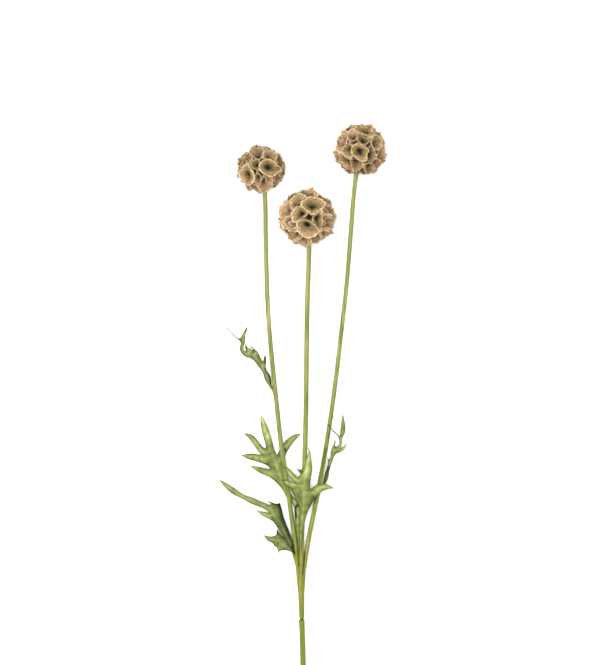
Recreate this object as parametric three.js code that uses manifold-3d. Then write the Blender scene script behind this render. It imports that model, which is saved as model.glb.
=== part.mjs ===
// A cut spray of globe scabiosa, lying down. One stem forks into three slender branches,
// each with a round head of papery funnel cups, and carries six deeply lobed leaves.
// Millimetres. +X is across the spray, +Y runs along it from the cut end to the heads and
// +Z points up from the surface that it lies on, which is Z = 0.

import * as THREE from 'three';
import { mergeVertices } from 'three/addons/utils/BufferGeometryUtils.js';
import Module from 'manifold-3d';

const wasm = await Module();
wasm.setup();

// ---- driving dimensions ----

const CLEARANCE = 0.3; // gap between pieces that seat in each other

const BRANCH_RADIUS = 1.9;
const STEM_RADIUS = 2.1;
const FORK_RADIUS = 2.5; // where the three branches have grown together
const STEM_SIDES = 10;
const LYING_HEIGHT = STEM_RADIUS * Math.cos(Math.PI / STEM_SIDES); // centre of a stem on its flat facet
const BRANCH_STEP = 13; // length of branch between two rings of its surface

const JOINT_X = -0.7; // where the upper stem sits in the lower one
const JOINT_Y = -159;
const JOINT_HEIGHT = 3.3; // centre of the stem above the surface, at the joint
const PEG_RADIUS = 1;
const PEG_LENGTH = 7;
const COLLAR_RADIUS = 2.3;
const COLLAR_LENGTH = 3;

const CORE = 0.56; // sizes inside a head, in parts of its radius
const NECK_DEPTH = 0.46;
const WAIST_DEPTH = 0.78;
const THROAT_DEPTH = 0.7;
const WAIST = 0.42; // width of a cup at its waist, in parts of its spread
const STEM_SEAT = 0.22; // how near to the head's centre its branch ends
const CUP_SIDES = 8;
const CUP_WALL = 0.75;
const CUP_GAP = 0.7; // between the rims of two neighbours
const WIDEST_CUP = 0.52; // radians from a cup's axis to its rim, at most
const RUFFLE = 0.03; // how unevenly the rims stand, in parts of the head's radius

const LEAF_THICKNESS = 0.75;
const LEAF_ARCH = 0.08; // how far the rib stands over the edges, in parts of the half width

// ---- finishes ----

const stemGreen = new THREE.MeshStandardMaterial({ color: 0x909554, roughness: 0.6, metalness: 0 });
const leafGreen = new THREE.MeshStandardMaterial({ color: 0x828e4d, roughness: 0.8, metalness: 0 });
const paperTan = new THREE.MeshStandardMaterial({ color: 0xaa9576, roughness: 0.85, metalness: 0 });

// ---- shapes ----

function seededRandom(seed) {
  let state = seed;
  return () => {
    state = (state * 1664525 + 1013904223) % 4294967296;
    return state / 4294967296;
  };
}

function toManifold(points, triangles) {
  const vertProperties = new Float32Array(points.flatMap((point) => point.toArray()));
  const triVerts = new Uint32Array(triangles);
  return new wasm.Manifold(new wasm.Mesh({ numProp: 3, vertProperties, triVerts }));
}

function toMesh(name, manifold, material) {
  const { vertProperties, triVerts } = manifold.getMesh();
  const geometry = new THREE.BufferGeometry();
  geometry.setAttribute('position', new THREE.BufferAttribute(vertProperties, 3));
  geometry.setIndex(new THREE.BufferAttribute(triVerts, 1));
  geometry.computeVertexNormals();
  const mesh = new THREE.Mesh(geometry, material);
  mesh.name = name;
  return mesh;
}

function fromGeometry(geometry) {
  geometry.deleteAttribute('normal');
  geometry.deleteAttribute('uv');
  const merged = mergeVertices(geometry, 1e-3);
  const wasmMesh = new wasm.Mesh({
    numProp: 3,
    vertProperties: new Float32Array(merged.attributes.position.array),
    triVerts: new Uint32Array(merged.index.array),
  });
  return new wasm.Manifold(wasmMesh);
}

// A closed skin over rings of equally many points, with a fan over each end.
function loft(rings, firstTip, lastTip) {
  const sides = rings[0].length;
  const points = [...rings.flat(), firstTip, lastTip];
  const first = points.length - 2;
  const last = points.length - 1;
  const triangles = [];
  for (let side = 0; side < sides; side++) {
    const next = (side + 1) % sides;
    triangles.push(first, next, side);
    for (let ring = 0; ring < rings.length - 1; ring++) {
      const a = ring * sides;
      const b = a + sides;
      triangles.push(a + side, a + next, b + next, a + side, b + next, b + side);
    }
    const end = (rings.length - 1) * sides;
    triangles.push(last, end + side, end + next);
  }
  return toManifold(points, triangles);
}

// A round bar along a path, with a flat facet straight down.
function bar(path, radii) {
  const up = new THREE.Vector3(0, 0, 1);
  const rings = path.map((centre, i) => {
    const ahead = path[Math.min(i + 1, path.length - 1)];
    const behind = path[Math.max(i - 1, 0)];
    const along = ahead.clone().sub(behind).normalize();
    const across = along.clone().cross(up).normalize();
    const over = across.clone().cross(along);
    return Array.from({ length: STEM_SIDES }, (_, side) => {
      const angle = -Math.PI / 2 - ((side + 0.5) / STEM_SIDES) * Math.PI * 2;
      return centre
        .clone()
        .addScaledVector(across, radii[i] * Math.cos(angle))
        .addScaledVector(over, radii[i] * Math.sin(angle));
    });
  });
  return loft(rings, path[0], path[path.length - 1]);
}

// ---- stems ----

// The way of each branch from inside the fork up to its head, as centre points.
const leftWay = [
  [-1.3, -137, 4.1],
  [-2, -129, 4.2],
  [-2.5, -119, 4.7],
  [-4.2, -105, 5.5],
  [-8, -80, 6.9],
  [-11.3, -56.5, 8.2],
  [-15.4, -29, 9.7],
  [-19, -2, 11.2],
  [-22.3, 28.5, 12.8],
  [-24.3, 50, 13.9],
  [-26.2, 71.5, 15],
  [-28.7, 100, 16.4],
  [-30.6, 141, 18],
  [-31.3, 171.5, 18.7],
  [-31.5, 190, 19],
];
const middleWay = [
  [-1.1, -139, 4.4],
  [-1.1, -128, 5.4],
  [-1.2, -117.5, 6.4],
  [-1.1, -100, 7.7],
  [-0.4, -82, 9.1],
  [0.6, -56.5, 10.9],
  [1.8, -24, 13.3],
  [2.8, 11.5, 15.7],
  [3.2, 45.5, 17.8],
  [3.7, 88, 20],
  [4.4, 122, 21.3],
  [5.3, 145, 22],
];
const rightWay = [
  [-0.5, -137, 4.1],
  [0.1, -129, 4.2],
  [0.9, -117.5, 4.6],
  [2.7, -107, 5.2],
  [5.9, -87, 6.5],
  [10.6, -63, 7.9],
  [16.4, -32.5, 9.7],
  [21.8, 0, 11.6],
  [27.4, 39, 13.8],
  [32.6, 83, 16.2],
  [37.7, 129, 18.4],
  [41.1, 171.5, 20],
  [44, 207, 20.6],
];
// The stalk that the branches share, and the plain stem under it, lying flat at its cut end.
const stalkWay = [
  [-1.2, -117, 4.9, 2.1],
  [-1.1, -124, 4.7, FORK_RADIUS],
  [-1.1, -131, 4.5, FORK_RADIUS],
  [-1, -137, 4.3, 2.1],
  [-0.8, -147, 3.9, 2],
  [JOINT_X, JOINT_Y + 2.5, JOINT_HEIGHT, 1.95],
  [JOINT_X, JOINT_Y + CLEARANCE, JOINT_HEIGHT, 1.6],
];
const lowerWay = [
  [JOINT_X, JOINT_Y, JOINT_HEIGHT, COLLAR_RADIUS],
  [JOINT_X, JOINT_Y - COLLAR_LENGTH, 3.2, COLLAR_RADIUS],
  [-0.5, JOINT_Y - 5.5, 3.1, STEM_RADIUS],
  [0.2, -185, 2.4, STEM_RADIUS],
  [0.7, -208, LYING_HEIGHT, STEM_RADIUS],
  [1.1, -236, LYING_HEIGHT, STEM_RADIUS],
  [1.2, -263.5, LYING_HEIGHT, STEM_RADIUS],
];
// The short stubs that carry leaves D and E, A and F, and two knots on the right branch.
const stubs = [
  [
    [-3.4, -118, 4.5, 1.8],
    [-5.1, -109, 5, 1.9],
    [-7.1, -101.2, 5.4, 1.7],
  ],
  [
    [-23.4, 27, 12.8, 1.3],
    [-25.3, 34.5, 14, 1.35],
    [-26.8, 40.3, 14.9, 1.4],
  ],
  [
    [14.3, -44.5, 9.2, 1],
    [16.6, -42.9, 10.1, 1],
  ],
  [
    [24.4, 13.3, 12.5, 0.7],
    [27, 14.4, 12.8, 0.7],
  ],
  [
    [10.8, -61.2, 8.2, 0.6],
    [8.7, -60.2, 8.5, 0.6],
  ],
];

const toPoint = ([x, y, z]) => new THREE.Vector3(x, y, z);

function branch(way, head) {
  const seat = [1.3, 0.8, STEM_SEAT].map((part) => stalkPoint(head, part));
  const curve = new THREE.CatmullRomCurve3([...way.map(toPoint), ...seat], false, 'centripetal');
  const path = curve.getSpacedPoints(Math.round(curve.getLength() / BRANCH_STEP));
  return bar(path, path.map(() => BRANCH_RADIUS));
}

function shapedBar(way) {
  return bar(way.map(toPoint), way.map((row) => row[3]));
}

// The peg that joins the two lengths of stem, from inside the upper one down into the lower one.
function peg(radius, length) {
  const top = new THREE.Vector3(JOINT_X, JOINT_Y + COLLAR_LENGTH, JOINT_HEIGHT + 0.1);
  const bottom = new THREE.Vector3(JOINT_X, JOINT_Y - length, JOINT_HEIGHT - 0.2);
  return bar([top, bottom], [radius, radius]);
}

// ---- heads ----

// Each head: its centre and radius, the way its stalk leaves it and how many cups it has. Sizes on
// a head are in parts of its radius. "Rims" are the outlines of the large cups on its upper side,
// as [across, along] of their corners, and "facing" is where the smaller cups beside them point.
const heads = {
  head_left: {
    centre: new THREE.Vector3(-34.9, 225, 19.1),
    radius: 20.5,
    stalk: new THREE.Vector3(0.145, -0.989, 0),
    cups: 31,
    seed: 11,
    rims: [
      [
        [0.67, 0.1], [0.48, 0.28], [0.31, 0.36], [0.14, 0.33], [-0.03, 0.21], [-0.08, 0.01],
        [0.01, -0.14], [0.16, -0.26], [0.34, -0.33], [0.45, -0.32], [0.64, -0.21], [0.82, -0.04],
      ],
      [
        [-0.04, 0.26], [-0.11, 0.35], [-0.25, 0.36], [-0.39, 0.29], [-0.46, 0.15], [-0.39, 0.03],
        [-0.27, -0.05], [-0.11, -0.05], [-0.06, 0.12],
      ],
      [
        [0.12, 0.71], [0.05, 0.87], [-0.14, 0.91], [-0.36, 0.86], [-0.48, 0.75], [-0.38, 0.56],
        [-0.24, 0.4], [-0.05, 0.36], [0.05, 0.53],
      ],
      [
        [0.66, 0.54], [0.56, 0.73], [0.3, 0.79], [0.16, 0.73], [0.04, 0.48], [0.2, 0.39],
        [0.42, 0.36], [0.55, 0.31],
      ],
      [
        [-0.27, -0.35], [-0.33, -0.16], [-0.46, 0.06], [-0.58, 0.18], [-0.78, 0.01],
        [-0.9, -0.21], [-0.86, -0.38], [-0.75, -0.54], [-0.52, -0.68], [-0.31, -0.54],
      ],
    ],
    facing: [
      [-0.16, -0.42],
      [0.17, -0.66],
      [0.62, -0.56],
      [-0.8, 0.42],
      [0.87, 0.3],
      [-0.3, -0.86],
    ],
  },
  head_middle: {
    centre: new THREE.Vector3(4, 183.4, 22.8),
    radius: 24.5,
    stalk: new THREE.Vector3(0.07, -0.997, -0.01),
    cups: 33,
    seed: 23,
    rims: [
      [
        [0.61, 0.42], [0.54, 0.55], [0.34, 0.65], [0.12, 0.7], [-0.07, 0.62], [-0.22, 0.45],
        [-0.07, 0.29], [0.08, 0.14], [0.2, 0.09], [0.5, 0.28],
      ],
      [
        [0.01, 0.2], [-0.13, 0.32], [-0.3, 0.36], [-0.48, 0.21], [-0.53, 0.02], [-0.47, -0.16],
        [-0.32, -0.12], [-0.15, -0.03], [-0.02, 0.07],
      ],
      [
        [0.15, -0.18], [-0.03, -0.09], [-0.23, -0.11], [-0.37, -0.23], [-0.32, -0.46],
        [-0.15, -0.65], [0.08, -0.69], [0.33, -0.58], [0.43, -0.46], [0.28, -0.29],
      ],
      [
        [0.53, -0.01], [0.46, 0.18], [0.25, 0.07], [0.18, -0.06], [0.2, -0.16], [0.28, -0.28],
        [0.42, -0.49], [0.48, -0.39], [0.52, -0.23],
      ],
      [
        [-0.07, 0.72], [-0.13, 0.8], [-0.43, 0.76], [-0.58, 0.57], [-0.59, 0.41], [-0.48, 0.27],
        [-0.22, 0.57],
      ],
    ],
    facing: [
      [-0.8, 0.18],
      [-0.64, -0.2],
      [-0.5, -0.68],
      [-0.18, -0.9],
      [0.36, -0.82],
      [0.84, 0.26],
      [0.78, -0.22],
      [0.7, -0.6],
      [0.04, 0.95],
      [0.6, 0.76],
    ],
  },
  head_right: {
    centre: new THREE.Vector3(49, 241.3, 20.6),
    radius: 22.2,
    stalk: new THREE.Vector3(-0.165, -0.986, 0),
    cups: 34,
    seed: 37,
    rims: [
      [
        [0.29, -0.04], [0.14, 0.08], [0, 0.17], [-0.17, 0.18], [-0.31, 0.07], [-0.35, -0.09],
        [-0.25, -0.27], [-0.11, -0.38], [0.03, -0.47], [0.17, -0.45], [0.25, -0.35], [0.24, -0.2],
      ],
      [
        [0.32, 0.33], [0.25, 0.4], [0.08, 0.51], [-0.06, 0.57], [-0.14, 0.42], [-0.11, 0.33],
        [-0.02, 0.23], [0.11, 0.13], [0.25, 0.17],
      ],
      [
        [-0.12, 0.57], [-0.19, 0.74], [-0.32, 0.78], [-0.48, 0.68], [-0.51, 0.51], [-0.42, 0.34],
        [-0.26, 0.31], [-0.14, 0.4],
      ],
      [
        [-0.32, 0.05], [-0.34, 0.17], [-0.48, 0.16], [-0.63, 0.05], [-0.73, -0.12],
        [-0.6, -0.27], [-0.42, -0.34], [-0.3, -0.29], [-0.36, -0.11],
      ],
      [
        [0.56, -0.11], [0.46, 0.07], [0.34, 0.1], [0.27, -0.04], [0.25, -0.2], [0.26, -0.35],
        [0.34, -0.48], [0.49, -0.44], [0.56, -0.27],
      ],
      [
        [0.85, 0.2], [0.82, 0.4], [0.66, 0.54], [0.48, 0.5], [0.4, 0.3], [0.45, 0.08],
        [0.59, -0.04], [0.74, 0.03],
      ],
      [
        [0.08, -0.54], [-0.05, -0.44], [-0.22, -0.37], [-0.36, -0.46], [-0.29, -0.75],
        [-0.17, -0.86], [-0.06, -0.8], [0.08, -0.69],
      ],
      [
        [0.49, -0.58], [0.31, -0.53], [0.13, -0.61], [0.17, -0.86], [0.28, -0.95], [0.45, -0.86],
        [0.57, -0.71],
      ],
    ],
    facing: [
      [0.85, -0.3],
      [-0.62, -0.55],
      [-0.75, 0.35],
      [0.2, 0.82],
      [0.68, -0.6],
    ],
  },
};

function stalkPoint(head, part) {
  return head.centre.clone().addScaledVector(head.stalk, head.radius * part);
}

// Every cup: those with a drawn rim, those with a given direction, and the others, which spread
// evenly over the rest of the head.
function placeCups({ rims, facing, stalk, cups }) {
  const onGlobe = ([across, along]) => {
    const rise = Math.sqrt(Math.max(0, 1 - across * across - along * along));
    return new THREE.Vector3(across, along, rise).normalize();
  };
  const drawn = rims.map((rim) => {
    const corners = rim.map(onGlobe);
    const middle = corners.reduce((sum, corner) => sum.add(corner), new THREE.Vector3());
    return { facing: middle.normalize(), corners };
  });
  const placed = [stalk.clone().normalize(), ...drawn.map((cup) => cup.facing), ...facing.map(onGlobe)];
  const goldenAngle = Math.PI * (3 - Math.sqrt(5));
  const others = Array.from({ length: cups + 1 }, (_, i) => {
    const height = 1 - (2 * i + 1) / (cups + 1);
    return new THREE.Vector3().setFromSphericalCoords(1, Math.acos(height), goldenAngle * i);
  });
  for (const cup of placed) {
    const nearness = others.map((other) => other.dot(cup));
    others.splice(nearness.indexOf(Math.max(...nearness)), 1);
  }
  for (let pass = 0; pass < 60; pass++) {
    for (const cup of others) {
      const push = new THREE.Vector3();
      for (const other of [...placed, ...others]) {
        if (other === cup) continue;
        const away = cup.clone().sub(other);
        push.addScaledVector(away, 1 / away.lengthSq() ** 2);
      }
      cup.addScaledVector(push, 0.004).normalize();
    }
  }
  const neighbours = [...placed, ...others];
  const plain = neighbours.slice(1 + drawn.length).map((way) => ({ facing: way, neighbours }));
  return [...drawn, ...plain];
}

// The spokes of a cup from its axis to its rim: how far round it they lean and how far they go,
// in radians. A drawn rim gives them, and any other rim runs half way to the cup's neighbours.
function rimSpokes({ facing, corners, neighbours }, radius, random) {
  if (corners) {
    return corners.map((corner) => ({
      outward: corner.clone().addScaledVector(facing, -corner.dot(facing)).normalize(),
      reach: corner.angleTo(facing),
    }));
  }
  const across = new THREE.Vector3(0, 0, 1).cross(facing);
  if (across.length() < 0.1) across.set(1, 0, 0);
  across.normalize();
  return Array.from({ length: CUP_SIDES }, (_, side) => {
    const angle = ((side + random() * 0.3) / CUP_SIDES) * Math.PI * 2;
    const outward = across.clone().applyAxisAngle(facing, angle);
    let reach = WIDEST_CUP;
    for (const other of neighbours) {
      const lean = outward.dot(other);
      if (other === facing || lean <= 0) continue;
      reach = Math.min(reach, Math.atan((1 - facing.dot(other)) / lean));
    }
    return { outward, reach: reach - CUP_GAP / 2 / radius };
  });
}

// One funnel cup: outside from its neck in the core to the rim, then inside down to the throat.
function cup(head, place, random) {
  const { facing } = place;
  const height = 1 + RUFFLE * (random() - 0.5);
  const spokes = rimSpokes(place, head.radius, random);
  const lifts = spokes.map(() => height + RUFFLE * (random() - 0.5));
  const ring = (depth, share, wall) =>
    spokes.map(({ outward, reach }, side) => {
      const far = head.radius * depth * lifts[side];
      const angle = reach * share - wall / head.radius / depth;
      return head.centre
        .clone()
        .addScaledVector(facing, far * Math.cos(angle))
        .addScaledVector(outward, far * Math.sin(angle));
    });
  const throat = head.centre.clone().addScaledVector(facing, head.radius * THROAT_DEPTH);
  const neck = head.centre.clone().addScaledVector(facing, head.radius * NECK_DEPTH);
  const rings = [
    ring(NECK_DEPTH, 0.4, 0),
    ring(WAIST_DEPTH, WAIST, 0),
    ring(1, 1, 0),
    ring(1, 1, CUP_WALL),
    ring(WAIST_DEPTH + 0.03, WAIST, CUP_WALL),
  ];
  return loft(rings, neck, throat);
}

function headSolid(head) {
  const random = seededRandom(head.seed);
  const core = new THREE.IcosahedronGeometry(head.radius * CORE, 2);
  core.translate(...head.centre);
  let solid = fromGeometry(core);
  for (const place of placeCups(head)) {
    solid = solid.add(cup(head, place, random));
  }
  const holeRadius = BRANCH_RADIUS + CLEARANCE;
  const holeEnd = STEM_SEAT - CLEARANCE / head.radius;
  const hole = bar([stalkPoint(head, holeEnd), stalkPoint(head, 1.1)], [holeRadius, holeRadius]);
  const ground = new THREE.BoxGeometry(4 * head.radius, 4 * head.radius, head.radius);
  ground.translate(head.centre.x, head.centre.y, -head.radius / 2);
  return solid.subtract(hole).subtract(fromGeometry(ground));
}

// ---- leaves ----

// A leaf is one thin sheet. Its spine and lobes are rows of [x, y, z, left, right]: a point of
// the rib and how far the blade reaches to each side of it, and the last row is the tip. A lobe
// grows out of three points of the leaf's edge, and "at" is the middle one of them.
const leaves = {
  leaf_a: {
    spine: [
      [-27.3, 40.8, 15.2, 1.3, 1.2],
      [-29.1, 45.5, 15.7, 2.2, 2],
      [-30.3, 48.8, 15.9, 2.2, 2.4],
      [-31.9, 52.2, 16.1, 1.4, 1.8],
      [-33.3, 54.8, 16.3, 1.5, 2],
      [-34.7, 57.3, 16.5, 2, 3.4],
      [-36.2, 59.7, 16.5, 2, 2.6],
      [-38.1, 62.5, 16.5, 2.2, 2.7],
      [-40.2, 65.2, 16.4, 2.7, 3.8],
      [-41.4, 66.3, 16.3, 2.8, 4.6],
      [-42.6, 67.2, 16.2, 2.9, 3.7],
      [-45.6, 68.1, 15.8, 2.9, 3.1],
      [-48.6, 68.4, 15.4, 2.5, 1.6],
      [-50.9, 70.1, 15.1, 1.6, 0.8],
      [-51.6, 72.7, 15, 2.1, 1.2],
      [-51.1, 75.4, 15, 1.1, 1.3],
      [-50.6, 78.1, 15.1, 1.7, 1.7],
      [-50.5, 79.8, 15.2, 1.6, 1.6],
      [-50.4, 81.7, 15.4, 1.5, 1.5],
      [-49.7, 84.3, 15.7, 1.3, 1],
      [-48.4, 87.3, 16.3, 0.8, 0.7],
      [-47.3, 89.6, 16.9, 0.6, 0.6],
      [-46.4, 91.4, 17.6, 0, 0],
    ],
    lobes: [
      {
        side: 'right',
        at: 5,
        rows: [
          [-31.9, 62.2, 17.2, 1.1, 1],
          [-31.8, 65, 17.8, 0.8, 0.8],
          [-31.7, 67.4, 18.4, 0, 0],
        ],
      },
      {
        side: 'right',
        at: 9,
        rows: [
          [-40.7, 71.7, 16.6, 0.6, 0.6],
          [-43.1, 73.4, 16.8, 0.5, 0.5],
          [-45.4, 74.8, 17, 0, 0],
        ],
      },
      {
        side: 'right',
        at: 11,
        rows: [
          [-47.1, 72, 16, 1, 1],
          [-48.1, 74, 16.2, 0.8, 0.8],
          [-48.3, 76.3, 16.6, 0, 0],
        ],
      },
      {
        side: 'left',
        at: 17,
        rows: [
          [-53.8, 80.1, 15, 0.4, 0.4],
          [-57.2, 82.4, 14.4, 0.4, 0.4],
          [-60.2, 85.8, 13.8, 0.4, 0.4],
          [-64.7, 90.5, 13.2, 0, 0],
        ],
      },
    ],
  },
  leaf_b: {
    spine: [
      [-2.9, -95, 4.3, 0.9, 0.9],
      [-4.1, -81.8, 4.4, 1.6, 1.4],
      [-4.2, -69.9, 4.5, 2, 1.7],
      [-4.1, -63.1, 4.7, 1.2, 1.6],
      [-6.5, -58, 4.9, 1.5, 2.2],
      [-10.3, -54.2, 5.1, 2.4, 1.3],
      [-13.3, -49.5, 5.2, 1.5, 2],
      [-15.4, -45.3, 5.3, 2.3, 3.2],
      [-17.2, -41.5, 5.4, 3.8, 4.5],
      [-18.8, -37.2, 5.5, 5.4, 5.4],
      [-20.2, -33, 5.6, 6.2, 5.9],
      [-21.4, -28.7, 5.6, 5.5, 6],
      [-22.6, -24.9, 5.5, 6, 4.8],
      [-24.3, -19.8, 5.4, 6, 2.3],
      [-25.4, -15.5, 5.3, 8.8, 1.9],
      [-26.4, -14.1, 5.2, 6, 2.1],
      [-27.1, -12.4, 5.1, 3.3, 2.3],
      [-28.2, -7.9, 4.8, 3, 2.4],
      [-30.1, -0.7, 4.6, 3.4, 2.4],
      [-32.4, 6.3, 5, 2.8, 2.2],
      [-34.2, 11.4, 5.8, 1.5, 1.6],
      [-35, 13.7, 6.4, 0.8, 0.8],
      [-35.3, 15.2, 7, 0, 0],
    ],
    lobes: [
      {
        side: 'left',
        at: 10,
        rows: [
          [-29.7, -32.8, 5.3, 2.7, 2.7],
          [-34, -31.7, 4.9, 2.5, 2.2],
          [-38.6, -30, 4.4, 1.7, 1.9],
          [-42, -28.6, 4, 1, 0.8],
          [-44.5, -27.4, 3.6, 0, 0],
        ],
      },
      {
        side: 'left',
        at: 13,
        rows: [
          [-36.7, -21.3, 4.7, 2.7, 3],
          [-42, -20, 4.1, 2.5, 2.8],
          [-46.9, -19.2, 4.2, 2, 1.9],
          [-49.9, -18.7, 4.6, 1.1, 0.9],
          [-52.2, -18.4, 5, 0, 0],
        ],
      },
      {
        side: 'left',
        at: 15,
        rows: [
          [-36.4, -13.2, 4.6, 1.9, 2.5],
          [-39.7, -8.3, 4.2, 2, 2.4],
          [-43.3, -3.6, 4.6, 2, 2.5],
          [-47.1, -1.1, 5.4, 0.8, 1.5],
          [-50.3, -0.1, 6.4, 0, 0],
        ],
      },
      {
        side: 'right',
        at: 12,
        rows: [
          [-18, -18.3, 5.4, 2.8, 2.8],
          [-16, -13.7, 5.7, 3.1, 2.8],
          [-13.1, -9.2, 6.3, 2.7, 3],
          [-9.5, -5.5, 7, 2.8, 2.2],
          [-5.5, -2.4, 8, 2, 1.5],
          [-3.1, -0.9, 8.6, 0.8, 0.8],
          [-1.5, -0.2, 9, 0, 0],
        ],
      },
    ],
  },
  leaf_c: {
    spine: [
      [-2.4, -97.6, 10.7, 1, 1],
      [-1.7, -86.9, 11.8, 1.4, 1.4],
      [-0.6, -75.9, 12.7, 1.8, 2],
      [0.2, -67.8, 13.2, 2.2, 3.1],
      [0.7, -61.9, 13.7, 2.7, 5.1],
      [0.8, -57.6, 14, 5.4, 7.3],
      [0.8, -53.8, 14.2, 6.5, 8.9],
      [0.9, -50, 14.5, 8.7, 7.6],
      [1, -47.2, 14.7, 9.8, 4.8],
      [1.3, -44.9, 14.9, 6.8, 4.4],
      [1.6, -43.2, 15, 6.1, 4.3],
      [1.9, -40.6, 15.2, 5.5, 4.3],
      [2.3, -38.1, 15.4, 5.1, 4.2],
      [2.8, -35.1, 15.6, 3.7, 4.1],
      [3.2, -33, 15.8, 3.4, 4.2],
      [3.5, -30.7, 16, 3.2, 4.2],
      [4.1, -27, 16.3, 2.2, 3.8],
      [5, -21.9, 16.7, 2, 2.4],
      [5.4, -19.2, 16.9, 1.6, 1.8],
      [6.1, -16.6, 17.1, 0.6, 0.8],
      [5.7, -14.3, 17.3, 0.5, 0.6],
      [4.8, -11.9, 17.6, 0, 0],
    ],
    lobes: [
      {
        side: 'right',
        at: 7,
        rows: [
          [11.3, -48.5, 12.6, 3.6, 3.7],
          [15.2, -45.5, 12.1, 3.1, 3.1],
          [19.4, -45.1, 11.8, 2.2, 2.3],
          [23.2, -45.5, 11.4, 1.3, 1.3],
          [26.8, -46.5, 11, 0, 0],
        ],
      },
      {
        side: 'left',
        at: 9,
        rows: [
          [-10.6, -43.4, 13.8, 2.4, 2.5],
          [-13.6, -41.3, 13.3, 2, 1.7],
          [-18.2, -38.9, 12.8, 0, 0],
        ],
      },
      {
        side: 'left',
        at: 11,
        rows: [
          [-7.2, -37.9, 14.4, 2.2, 2.2],
          [-10.6, -33.6, 13.9, 2.1, 2.3],
          [-13.3, -30.4, 13.6, 1.7, 1.6],
          [-15.9, -27.6, 13.4, 0, 0],
        ],
      },
      {
        side: 'left',
        at: 14,
        rows: [
          [-2.4, -31.7, 15.6, 1, 0.9],
          [-4.9, -29.2, 15.4, 0, 0],
        ],
      },
    ],
  },
  leaf_d: {
    spine: [
      [-7.6, -99.6, 7.7, 0.8, 0.8],
      [-9.3, -95, 8.3, 1.7, 1.8],
      [-11.8, -89.5, 8.4, 2.2, 2.5],
      [-14.6, -84, 8.2, 3.3, 3.1],
      [-18.2, -77.6, 7.8, 3.6, 3.9],
      [-21.2, -72.1, 7.4, 3.7, 4.8],
      [-23.9, -67.9, 7, 5.1, 6.1],
      [-26.3, -65.5, 6.6, 3.1, 6.3],
      [-27.4, -64.8, 6.4, 2.2, 3.9],
      [-29, -64.1, 6.2, 1.5, 2.9],
      [-33.1, -61.9, 5.6, 1.4, 2.9],
      [-38.6, -59.2, 5.1, 2.2, 2.3],
      [-43.7, -56.7, 4.8, 2.5, 2.4],
      [-48, -54.8, 4.6, 1.7, 1.6],
      [-52.2, -52.7, 4.5, 1.9, 1.3],
      [-56.9, -50.1, 4.3, 2.4, 2.1],
      [-62, -46.7, 4, 2.1, 2.1],
      [-66.3, -43.3, 3.6, 1.4, 1.4],
      [-69.1, -40.8, 3.3, 0.8, 0.8],
      [-70.7, -39, 3, 0, 0],
    ],
    lobes: [
      {
        side: 'left',
        at: 6,
        rows: [
          [-31.6, -68.5, 6.2, 2.1, 2],
          [-35.4, -67.6, 5.4, 1.3, 1.1],
          [-37.8, -66.1, 5, 0.7, 0.6],
          [-40, -64.2, 4.6, 0, 0],
        ],
      },
      {
        side: 'right',
        at: 6,
        rows: [
          [-19.5, -58.9, 9, 0, 0],
        ],
      },
      {
        side: 'right',
        at: 8,
        rows: [
          [-25.6, -59.4, 8.4, 0.4, 0.4],
          [-28.6, -57.7, 8.2, 0.4, 0.4],
          [-31.8, -56.1, 8, 0, 0],
        ],
      },
    ],
  },
  leaf_e: {
    spine: [
      [-8.3, -100.5, 4.6, 0.9, 0.8],
      [-11, -98, 4.2, 1.6, 2.2],
      [-14.8, -95.4, 3.8, 3.9, 4.3],
      [-18.4, -93.1, 3.5, 5, 4.9],
      [-20.1, -92.1, 3.4, 4, 4.6],
      [-21.8, -91.2, 3.2, 3.7, 4.4],
      [-23.9, -90.6, 3.1, 2.6, 2.6],
      [-28.9, -89.5, 2.8, 2.1, 1.6],
      [-31.3, -88, 2.6, 0.9, 0.8],
      [-33, -86.6, 2.4, 0, 0],
    ],
    lobes: [
      {
        side: 'right',
        at: 5,
        rows: [
          [-20.6, -84.9, 3.6, 1.1, 1.1],
          [-22.2, -81, 3.9, 0, 0],
        ],
      },
      {
        side: 'left',
        at: 3,
        rows: [
          [-20.2, -99.5, 3, 1.4, 0.6],
          [-21.1, -101.9, 2.4, 0, 0],
        ],
      },
      {
        side: 'left',
        at: 5,
        rows: [
          [-23.9, -96.3, 2.8, 0, 0],
        ],
      },
    ],
  },
  leaf_f: {
    spine: [
      [18, -43, 10.3, 0.9, 0.9],
      [19.8, -38.9, 11.1, 1.6, 1.6],
      [20.8, -35.1, 11.4, 1.7, 1.4],
      [21.3, -32.1, 11.6, 1.3, 1.1],
      [22.4, -28.7, 12, 1.3, 1.2],
      [23.1, -25.7, 12.3, 1.2, 1.1],
      [23.7, -23.6, 12.5, 1, 1.4],
      [24.3, -21.7, 12.7, 0.8, 1.4],
      [25.5, -18.5, 13.1, 1.3, 1.4],
      [26.5, -15.8, 13.5, 2.5, 1.7],
      [27.8, -13.7, 13.8, 2.8, 3.4],
      [29.6, -12.6, 14.1, 1.5, 3.4],
      [31.4, -11.2, 14.4, 1.3, 1.7],
      [32.1, -9, 14.6, 0.9, 1],
      [32.8, -6, 14.9, 0.9, 0.9],
      [32.8, -3.6, 15, 0.9, 0.9],
      [33, -1.9, 15, 1, 1.4],
      [33.8, 1.5, 14.6, 1.6, 2.4],
      [34.4, 5.7, 13.9, 1.5, 2],
      [34.5, 10.4, 13, 1.2, 1.2],
      [34.5, 14, 12.3, 0.8, 0.8],
      [34.2, 16.7, 11.7, 0, 0],
    ],
    lobes: [
      {
        side: 'left',
        at: 6,
        rows: [
          [22.1, -22.6, 13, 0.4, 0.3],
          [21.2, -20.1, 13.4, 0, 0],
        ],
      },
      {
        side: 'left',
        at: 10,
        rows: [
          [26.5, -10.1, 14.4, 0.5, 0.6],
          [27.5, -8.1, 14.8, 0.5, 0.5],
          [28, -6.4, 15.2, 0.5, 0.5],
          [26.5, -4.6, 15.6, 0, 0],
        ],
      },
      {
        side: 'right',
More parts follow.
